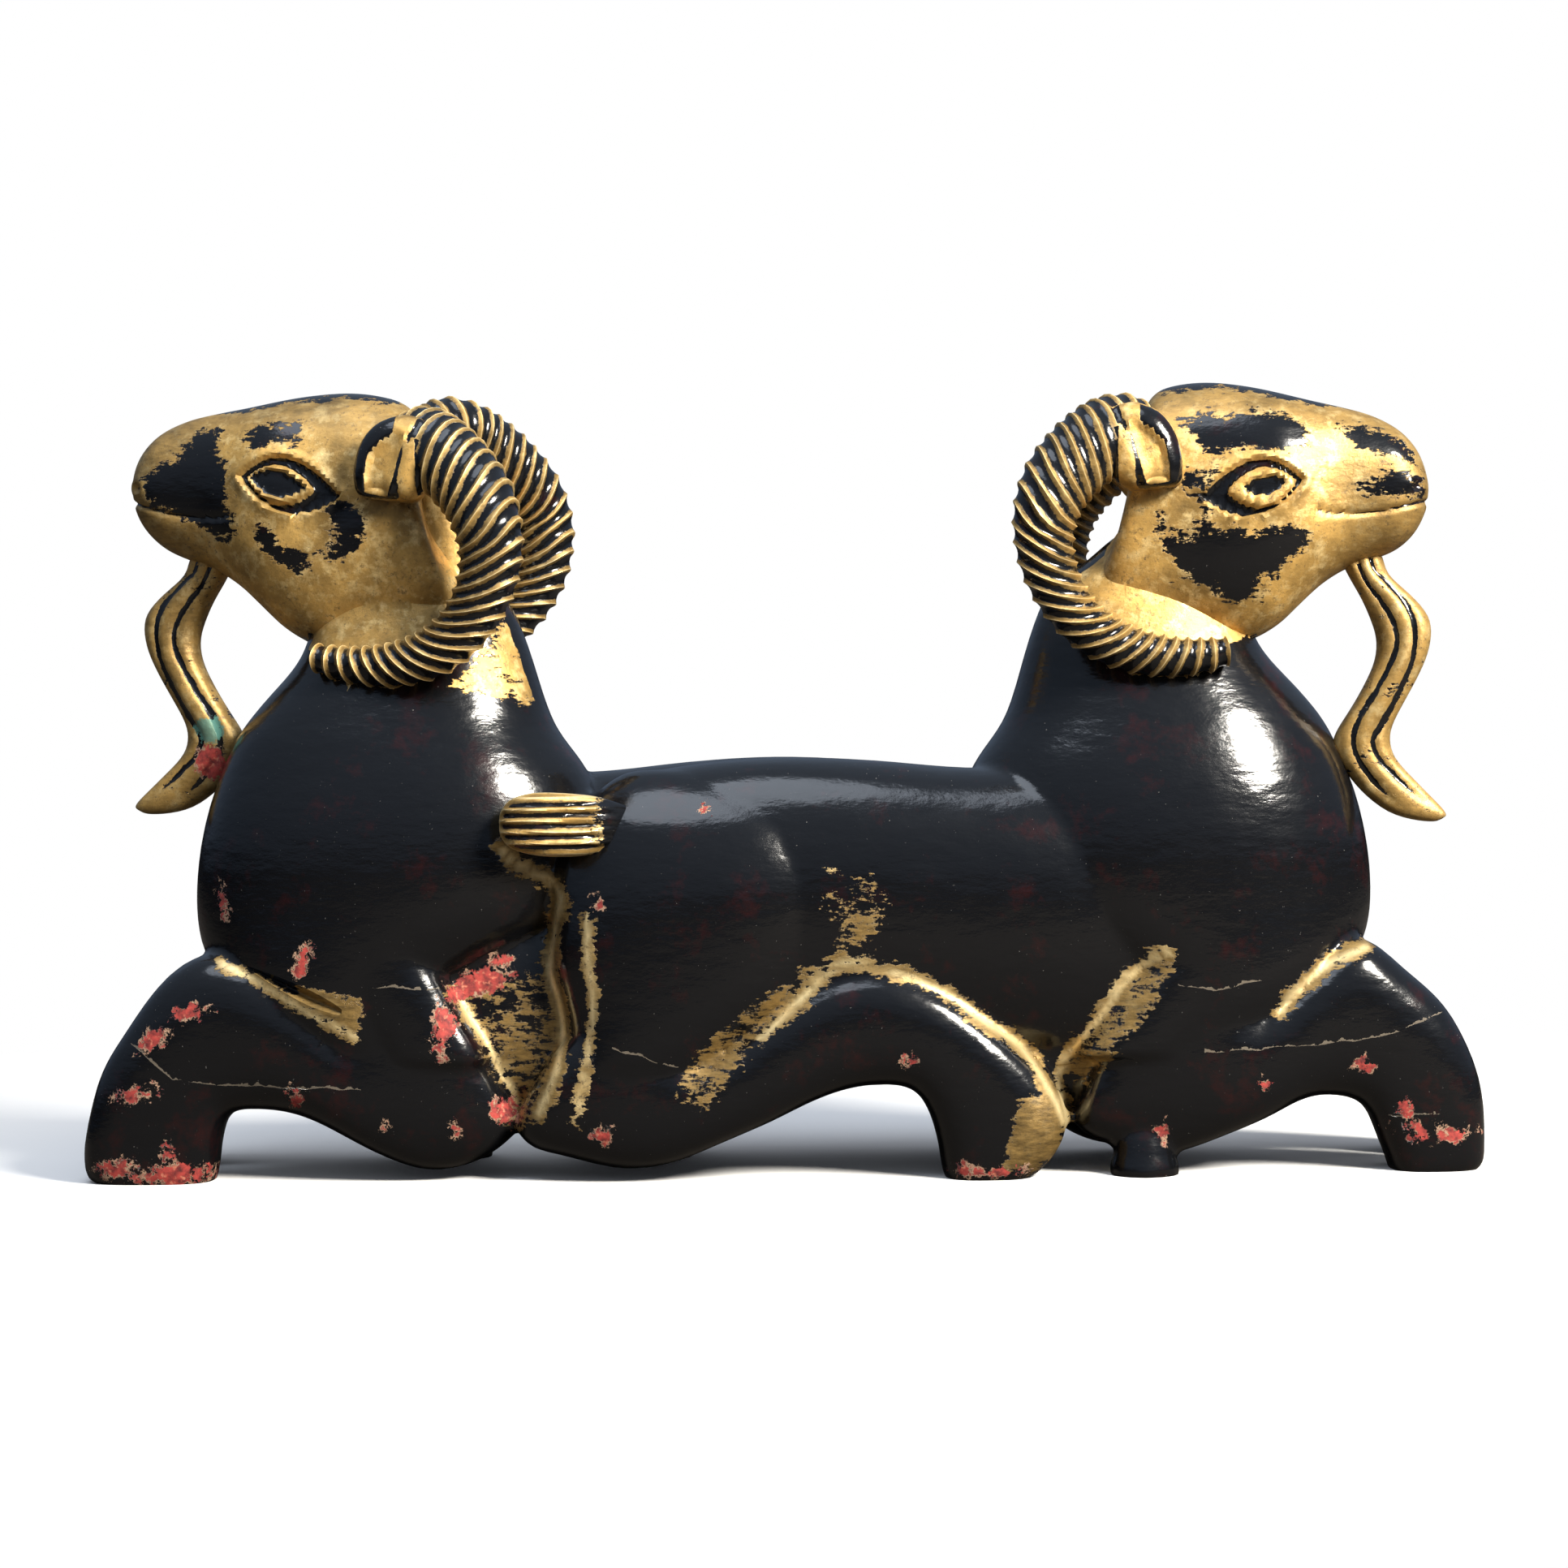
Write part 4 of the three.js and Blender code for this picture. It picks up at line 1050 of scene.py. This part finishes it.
def lacquer_and_gilding(finish):
    material = bpy.data.materials.new("Black lacquer and gilding over coral ground")
    material.use_nodes = True
    tree = material.node_tree
    tree.nodes.clear()
    s = Sheet(tree)
    place = s.add("ShaderNodeTexCoord").outputs["Object"]

    def read(name):
        return s.add("ShaderNodeAttribute", attribute_name=name).outputs["Fac"]

    def torn(distance, tear, scale=90.0):
        node = s.add("ShaderNodeGroup")
        node.node_tree = bpy.data.node_groups["Ragged edge"]
        tree.links.new(place, node.inputs["Vector"])
        tree.links.new(distance, node.inputs["Distance"])
        node.inputs["Tear"].default_value = tear
        node.inputs["Scale"].default_value = scale
        return node.outputs["Mask"]

    gilt, hollow, chip = read("gilt"), read("hollow"), read("chip")
    dim, ridged, painted_highlight = read("dim"), read("ridged"), read("painted_highlight")
    brushed = s.noise(place, 60.0, 6.0, 0.7, ((2.2, 1.0, 9.0), (0.0, 0.75, 0.0)))
    streaked = s.math("ADD", gilt, s.math("MULTIPLY", s.math("SUBTRACT", brushed, 0.5), 10.0))
    gold_mask = torn(streaked, 7.0)
    # Where the hollow field is high the gold gives way to black: black paint in the eyes and pupils and on
    # the ears' rims and rear lobes, painted shade in the other grooves, creases and troughs.
    sunk = s.math("MULTIPLY", s.math("SUBTRACT", 0.62, hollow), 6.0)
    gold_mask = s.math("MULTIPLY", gold_mask, torn(sunk, 2.4, 150.0))
    chip_mask = s.math("SUBTRACT", 1.0, torn(s.math("ADD", chip, 0.3), 9.0, 210.0))
    broken = s.math("MULTIPLY", s.ramp(s.noise(place, 190.0, 3.0, 0.6), 0.45, 0.62), 1.3)
    rim_mask = s.math("SUBTRACT", 1.0, torn(s.math("SUBTRACT", s.math("ADD", chip, 0.3), broken), 9.0,
        210.0))
    rim_mask = s.math("SUBTRACT", rim_mask, chip_mask, clamp=True)

    # Lacquer: nearly black, with a dark red undertone where it is thin, dust specks and dull wear.
    cloud = s.noise(place, 34.0, 5.0, 0.65)
    thin = s.ramp(s.math("ADD", cloud, s.math("MULTIPLY", s.noise(place, 240.0, 4.0, 0.7), 0.3)), 0.72,
        0.98)
    black = s.mix(thin, rgba(finish.lacquer), rgba(finish.undertone))
    speck = s.ramp(s.noise(place, 900.0, 2.0, 0.5), 0.74, 0.8)
    black = s.mix(s.math("MULTIPLY", speck, 0.4), black, (0.25, 0.24, 0.22, 1.0))

    # Gilding: warm gold, browner where it is rubbed, pale where it is thick, olive where the dim field is set
    # on bodies, heads and beards; olive painted shade in the troughs of horns and tails, and pale painted
    # highlights on their crests and along the gilt lines.
    tone = s.noise(place, 35.0, 6.0, 0.65)
    gold = s.mix(s.ramp(tone, 0.35, 0.62), rgba(finish.gold_dark), rgba(finish.gold))
    gold = s.mix(s.ramp(s.noise(place, 130.0, 5.0, 0.7), 0.5, 0.75), gold, rgba(finish.gold_pale))
    olive = s.mix(s.ramp(brushed, 0.35, 0.65), (0.05, 0.032, 0.012, 1.0), (0.3, 0.19, 0.06, 1.0))
    # Olive where the dim field is set, lifted along the painted highlight of the gilt lines.
    rubbed = s.math("MULTIPLY", dim, s.math("SUBTRACT", 1.0, s.math("MULTIPLY", painted_highlight, 0.85)))
    # Olive painted shade in the troughs of the horns and tails.
    painted_trough_shade = s.math("MULTIPLY", ridged, s.ramp(hollow, 0.06, 0.46))
    gold = s.mix(s.math("MAXIMUM", s.math("MULTIPLY", rubbed, 0.85), s.math("MULTIPLY", painted_trough_shade, 0.8)),
        gold, olive)
    # Painted highlights in pale gold on the crests of horns and tails, and along the middle of the gilt
    # lines.
    painted_crest_highlight = s.math("MAXIMUM", s.math("MULTIPLY", dim, painted_highlight),
        s.math("MULTIPLY", ridged, s.ramp(hollow, 0.12, 0.03)))
    gold = s.mix(s.math("MULTIPLY", painted_crest_highlight, 0.55), gold, (0.95, 0.8, 0.45, 1.0))
    grime = s.ramp(s.math("ADD", s.noise(place, 330.0, 6.0, 0.8), s.math("MULTIPLY", tone, 0.3)), 0.7, 0.84)
    gold = s.mix(s.math("MULTIPLY", grime, 0.85), gold, (0.04, 0.025, 0.01, 1.0))

    # Coral ground mottled at random with a darker red, which is a painted shade of the coral.
    coral_shade_mottle = s.noise(place, 300.0, 4.0, 0.6)
    coral = s.mix(s.ramp(coral_shade_mottle, 0.34, 0.62), (0.1, 0.012, 0.012, 1.0), rgba(finish.coral))
    coral = s.mix(s.ramp(s.noise(place, 420.0, 3.0, 0.5), 0.56, 0.7), coral, (0.6, 0.2, 0.12, 1.0))

    colour = s.mix(gold_mask, black, gold)
    cracks = None
    for x0, z0, x1, z1 in FRONT_CRACKS:
        node = s.add("ShaderNodeGroup")
        node.node_tree = bpy.data.node_groups["Hairline crack"]
        tree.links.new(place, node.inputs["Vector"])
        for socket, value in (("X0", x0), ("Z0", z0), ("X1", x1), ("Z1", z1)):
            node.inputs[socket].default_value = value * MM
        mask = node.outputs["Mask"]
        cracks = mask if cracks is None else s.math("MAXIMUM", cracks, mask)
    colour = s.mix(s.math("MULTIPLY", cracks, 0.55), colour, (0.24, 0.2, 0.15, 1.0))
    colour = s.mix(rim_mask, colour, (0.42, 0.26, 0.17, 1.0))
    colour = s.mix(chip_mask, colour, coral)
    green_mask = torn(read("verdigris"), 8.0, 160.0)
    colour = s.mix(s.math("MULTIPLY", green_mask, 0.8), colour, (0.12, 0.3, 0.24, 1.0))

    bare = s.math("MAXIMUM", chip_mask, rim_mask)
    lacquer_rough = s.math("ADD", 0.08, s.math("MULTIPLY", s.noise(place, 70.0, 6.0, 0.7), 0.16))
    lacquer_rough = s.math("ADD", lacquer_rough, s.math("MULTIPLY", speck, 0.2))
    gold_rough = s.math("ADD", 0.33, s.math("MULTIPLY", tone, 0.25))
    rough = s.blend(gold_mask, lacquer_rough, gold_rough)
    rough = s.blend(bare, rough, 0.75)
    metal = s.math("MULTIPLY", gold_mask, s.math("SUBTRACT", 1.0, s.math("MAXIMUM", bare, grime)))
    metal = s.math("MULTIPLY", metal, finish.metal)

    # Relief: tool ripple under the lacquer, brush marks in the gold, and the sunk chips and cracks.
    ripple = s.math("MULTIPLY", s.noise(place, 60.0, 4.0, 0.55, ((1.0, 1.0, 2.4), (0.0, 0.0, 0.0))), 0.0006)
    skin = s.math("MULTIPLY", s.noise(place, 700.0, 4.0, 0.6), 0.00006)
    leaf = s.math("MULTIPLY", gold_mask, s.math("MULTIPLY", s.noise(place, 420.0, 6.0, 0.7), 0.00035))
    height = s.math("ADD", s.math("ADD", ripple, skin), leaf)
    height = s.math("SUBTRACT", height, s.math("MULTIPLY", chip_mask, 0.0006))
    height = s.math("SUBTRACT", height, s.math("MULTIPLY", cracks, 0.0004))
    bump = s.add("ShaderNodeBump", {"Strength": 0.6, "Distance": 1.0, "Height": height}).outputs[0]

    shader = s.add(
        "ShaderNodeBsdfPrincipled",
        {"Base Color": colour, "Roughness": rough, "Metallic": metal, "Normal": bump, "IOR": 1.5},
    )
    out = s.add("ShaderNodeOutputMaterial")
    tree.links.new(shader.outputs[0], out.inputs["Surface"])
    return material


# What a user may change.


class CarvingSettings(bpy.types.PropertyGroup):
    grain: FloatProperty(
        name="Grain", description="Finest step of the bodies", default=2.1 * MM, min=1.0 * MM, unit="LENGTH"
    )
    sanding: IntProperty(name="Sanding", description="How often the bodies are smoothed", default=4,
        min=0, max=30)
    ridges: IntProperty(name="Horn ridges", description="Ridges on each horn", default=28, min=8, max=40)
    ridge_depth: FloatProperty(
        name="Ridge depth", description="Depth between two ridges", default=1.5 * MM, min=0, unit="LENGTH"
    )


class FinishSettings(bpy.types.PropertyGroup):
    lacquer: FloatVectorProperty(
        name="Lacquer", description="Colour of the black lacquer", default=(0.004, 0.0042,
            0.005), subtype="COLOR"
    )
    undertone: FloatVectorProperty(
        name="Undertone", description="Colour of thin lacquer", default=(0.024, 0.0045,
            0.0045), subtype="COLOR"
    )
    gold: FloatVectorProperty(
        name="Gold", description="Colour of the gilding", default=(0.68, 0.41, 0.115), subtype="COLOR"
    )
    gold_dark: FloatVectorProperty(
        name="Rubbed gold", description="Colour of rubbed gilding", default=(0.22, 0.135,
            0.04), subtype="COLOR"
    )
    gold_pale: FloatVectorProperty(
        name="Pale gold", description="Colour of thick gilding", default=(0.88, 0.66, 0.3), subtype="COLOR"
    )
    coral: FloatVectorProperty(
        name="Ground", description="Colour of the bare ground in a chip", default=(0.45, 0.052,
            0.04), subtype="COLOR"
    )
    metal: FloatProperty(
        name="Metal", description="How metallic the gilding is", default=0.5, min=0, max=1, subtype="FACTOR"
    )


class StageSettings(bpy.types.PropertyGroup):
    key_power: FloatProperty(name="Key light", description="Power of the key light", default=110, min=0,
        unit="POWER")
    sky_power: FloatProperty(name="Top light", description="Power of the top light", default=14, min=0,
        unit="POWER")
    lens: FloatProperty(
        name="Lens", description="Focal length of the camera", default=77.68, min=1, subtype="DISTANCE_CAMERA"
    )


# One operator for each group of pieces.


def working(name):
    """A part made earlier in the order, or a plain error."""
    found = bpy.data.objects.get(name)
    if found is None:
        raise RuntimeError(f"{name} isn't made yet: run the operators in order")
    return found


class CARVING_OT_bodies(bpy.types.Operator):
    """Grows the two bodies and all their legs from masses, and sands them into one"""

    bl_idname = "carving.bodies"
    bl_label = "Bodies"

    def execute(self, context):
        make_bodies(context.scene.carving)
        return {"FINISHED"}


class CARVING_OT_heads(bpy.types.Operator):
    """Makes both heads with their eyes, mouths, nostrils and ears"""

    bl_idname = "carving.heads"
    bl_label = "Heads and ears"

    def execute(self, context):
        for own in RAMS:
            make_head(own)
            for side in (-1, 1):
                make_ear(own, side).name = f"ear_{own['name']}_{side}"
        return {"FINISHED"}


class CARVING_OT_horns(bpy.types.Operator):
    """Makes one ridged horn and sets four copies of it on the heads"""

    bl_idname = "carving.horns"
    bl_label = "Horns"

    def execute(self, context):
        model = make_horn(context.scene.carving)
        for own in RAMS:
            for side in (-1, 1):
                horn_of(model, own, side).name = f"horn_{own['name']}_{side}"
        bpy.data.objects.remove(model)
        return {"FINISHED"}


class CARVING_OT_tufts(bpy.types.Operator):
    """Makes the crested tails and the grooved beards"""

    bl_idname = "carving.tufts"
    bl_label = "Tails and beards"

    def execute(self, context):
        for own in RAMS:
            make_tail(own).name = f"tail_{own['name']}"
            make_beard(own).name = f"beard_{own['name']}"
        return {"FINISHED"}


class CARVING_OT_unite(bpy.types.Operator):
    """Unites bodies, heads, ears, horns, tails and beards into one carved piece and paints it"""

    bl_idname = "carving.unite"
    bl_label = "Unite and paint"

    def execute(self, context):
        names = [f"{part}_{own['name']}" for own in RAMS for part in ("head", "tail", "beard")]
        names += [f"{part}_{own['name']}_{side}" for own in RAMS for part in ("ear",
            "horn") for side in (-1, 1)]
        carving = working("body")
        parts = [working(name) for name in names]
        memory = remember([carving, *parts])
        for part in parts:
            boolean(carving, part, "UNION")
        carving.name = "carved_rams"
        paint_fields(carving, memory)
        smooth_normals(carving)
        ragged_edge()
        hairline()
        carving.data.materials.clear()
        carving.data.materials.append(lacquer_and_gilding(context.scene.finish))
        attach(carving, "root")
        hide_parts(CAD_NODE)
        return {"FINISHED"}


def place_light(name, location, target, size, power, colour):
    data = bpy.data.lights.new(name, "AREA")
    data.shape = "DISK"
    data.size = size
    data.energy = power
    data.color = colour
    light = bpy.data.objects.new(name, data)
    bpy.context.scene.collection.objects.link(light)
    light.location = location
    light.rotation_euler = (Vector(target) - Vector(location)).to_track_quat("-Z", "Y").to_euler()
    return light


def floor_material():
    """A pale floor that stays out of the gloss: it is darker to reflected rays."""
    material = bpy.data.materials.new("Pale floor")
    material.use_nodes = True
    tree = material.node_tree
    tree.nodes.clear()
    s = Sheet(tree)
    path = s.add("ShaderNodeLightPath").outputs
    grain = s.noise(s.add("ShaderNodeTexCoord").outputs["Object"], 3.0, 2.0, 0.5)
    pale = s.mix(grain, (0.93, 0.93, 0.93, 1), (0.96, 0.96, 0.95, 1))
    colour = s.mix(path["Is Camera Ray"], (0.09, 0.08, 0.07, 1), pale)
    shader = s.add("ShaderNodeBsdfDiffuse", {"Color": colour})
    away = s.add("ShaderNodeVectorMath", {0: s.add("ShaderNodeTexCoord").outputs["Object"]},
        operation="LENGTH")
    far = s.math("MULTIPLY", s.ramp(away.outputs["Value"], 0.3, 0.75), path["Is Camera Ray"])
    glow = s.add("ShaderNodeEmission", {"Color": (1, 1, 1, 1)})
    both = s.add("ShaderNodeMixShader", {0: far, 1: shader.outputs[0], 2: glow.outputs[0]})
    out = s.add("ShaderNodeOutputMaterial")
    tree.links.new(both.outputs[0], out.inputs["Surface"])
    return material


def make_world():
    world = bpy.data.worlds.new("Studio")
    bpy.context.scene.world = world
    world.use_nodes = True
    tree = world.node_tree
    tree.nodes.clear()
    s = Sheet(tree)
    path = s.add("ShaderNodeLightPath").outputs
    towards = s.add("ShaderNodeTexCoord").outputs["Generated"]
    direction = s.add("ShaderNodeSeparateXYZ", {"Vector": towards}).outputs
    dark = s.mix(s.ramp(direction[2], 0.02, 0.16), (0.008, 0.008, 0.01, 1), (0.13, 0.17, 0.24, 1))
    sky = s.mix(s.ramp(direction[2], 0.15, 0.9), dark, (0.3, 0.38, 0.5, 1))
    soft = s.mix(path["Is Diffuse Ray"], sky, (0.38, 0.4, 0.44, 1))
    colour = s.mix(path["Is Camera Ray"], soft, (1, 1, 1, 1))
    background = s.add("ShaderNodeBackground", {"Color": colour, "Strength": 1.0})
    out = s.add("ShaderNodeOutputWorld")
    tree.links.new(background.outputs[0], out.inputs["Surface"])


class CARVING_OT_stage(bpy.types.Operator):
    """Sets the floor, the soft lights and the camera"""

    bl_idname = "carving.stage"
    bl_label = "Stage"

    def execute(self, context):
        settings = context.scene.stage
        bpy.ops.object.select_all(action="DESELECT")
        bpy.ops.mesh.primitive_plane_add(size=12, location=(0, 0, 0))
        floor = context.object
        floor.name = "floor"
        floor.data.materials.append(floor_material())
        make_world()
        target = (0, 0, 0.16)
        place_light("key", (1.25, -1.15, 1.25), target, 0.65, settings.key_power, (1.0, 0.95, 0.86))
        place_light("top", (-0.3, -0.5, 1.7), target, 1.2, settings.sky_power, (0.8, 0.88, 1.0))
        data = bpy.data.cameras.new("camera")
        data.lens = settings.lens
        camera = bpy.data.objects.new("camera", data)
        context.scene.collection.objects.link(camera)
        place, aim, roll = Vector((0.045, -1.5, 0.1952)), Vector((0.0018, 0, 0.1692)), 0.014
        ahead = (aim - place).normalized()
        right = ahead.cross(Vector((0, 0, 1))).normalized()
        up = right.cross(ahead)
        right, up = right * math.cos(roll) - up * math.sin(roll), right * math.sin(roll) + up * math.cos(roll)
        camera.matrix_world = Matrix.Translation(place) @ Matrix((right, up, -ahead)).transposed().to_4x4()
        context.scene.camera = camera
        context.scene.view_settings.view_transform = "Standard"
        return {"FINISHED"}


class CARVING_PT_panel(bpy.types.Panel):
    """Sizes, colours and steps of the carving"""

    bl_label = "Double ram carving"
    bl_space_type = "VIEW_3D"
    bl_region_type = "UI"
    bl_category = "Carving"

    def draw(self, context):
        for title, group, operators in PANEL_ROWS:
            box = self.layout.box()
            box.label(text=title)
            for name in group.__annotations__:
                box.prop(getattr(context.scene, SETTINGS[group]), name)
            for operator in operators:
                box.operator(operator.bl_idname)


SETTINGS = {CarvingSettings: "carving", FinishSettings: "finish", StageSettings: "stage"}
PANEL_ROWS = [
    ("Carving", CarvingSettings, (CARVING_OT_bodies, CARVING_OT_heads, CARVING_OT_horns, CARVING_OT_tufts)),
    ("Finish", FinishSettings, (CARVING_OT_unite,)),
    ("Stage", StageSettings, (CARVING_OT_stage,)),
]
OPERATORS = [operator for row in PANEL_ROWS for operator in row[2]]
CLASSES = [*SETTINGS, *OPERATORS, CARVING_PT_panel]


def register():
    for cls in CLASSES:
        bpy.utils.register_class(cls)
    for group, name in SETTINGS.items():
        setattr(bpy.types.Scene, name, PointerProperty(type=group))


def unregister():
    for name in SETTINGS.values():
        delattr(bpy.types.Scene, name)
    for cls in reversed(CLASSES):
        bpy.utils.unregister_class(cls)


def main():
    register()
    bpy.ops.carving.bodies()
    bpy.ops.carving.heads()
    bpy.ops.carving.horns()
    bpy.ops.carving.tufts()
    bpy.ops.carving.unite()
    bpy.ops.carving.stage()


if __name__ == "__main__":
    main()
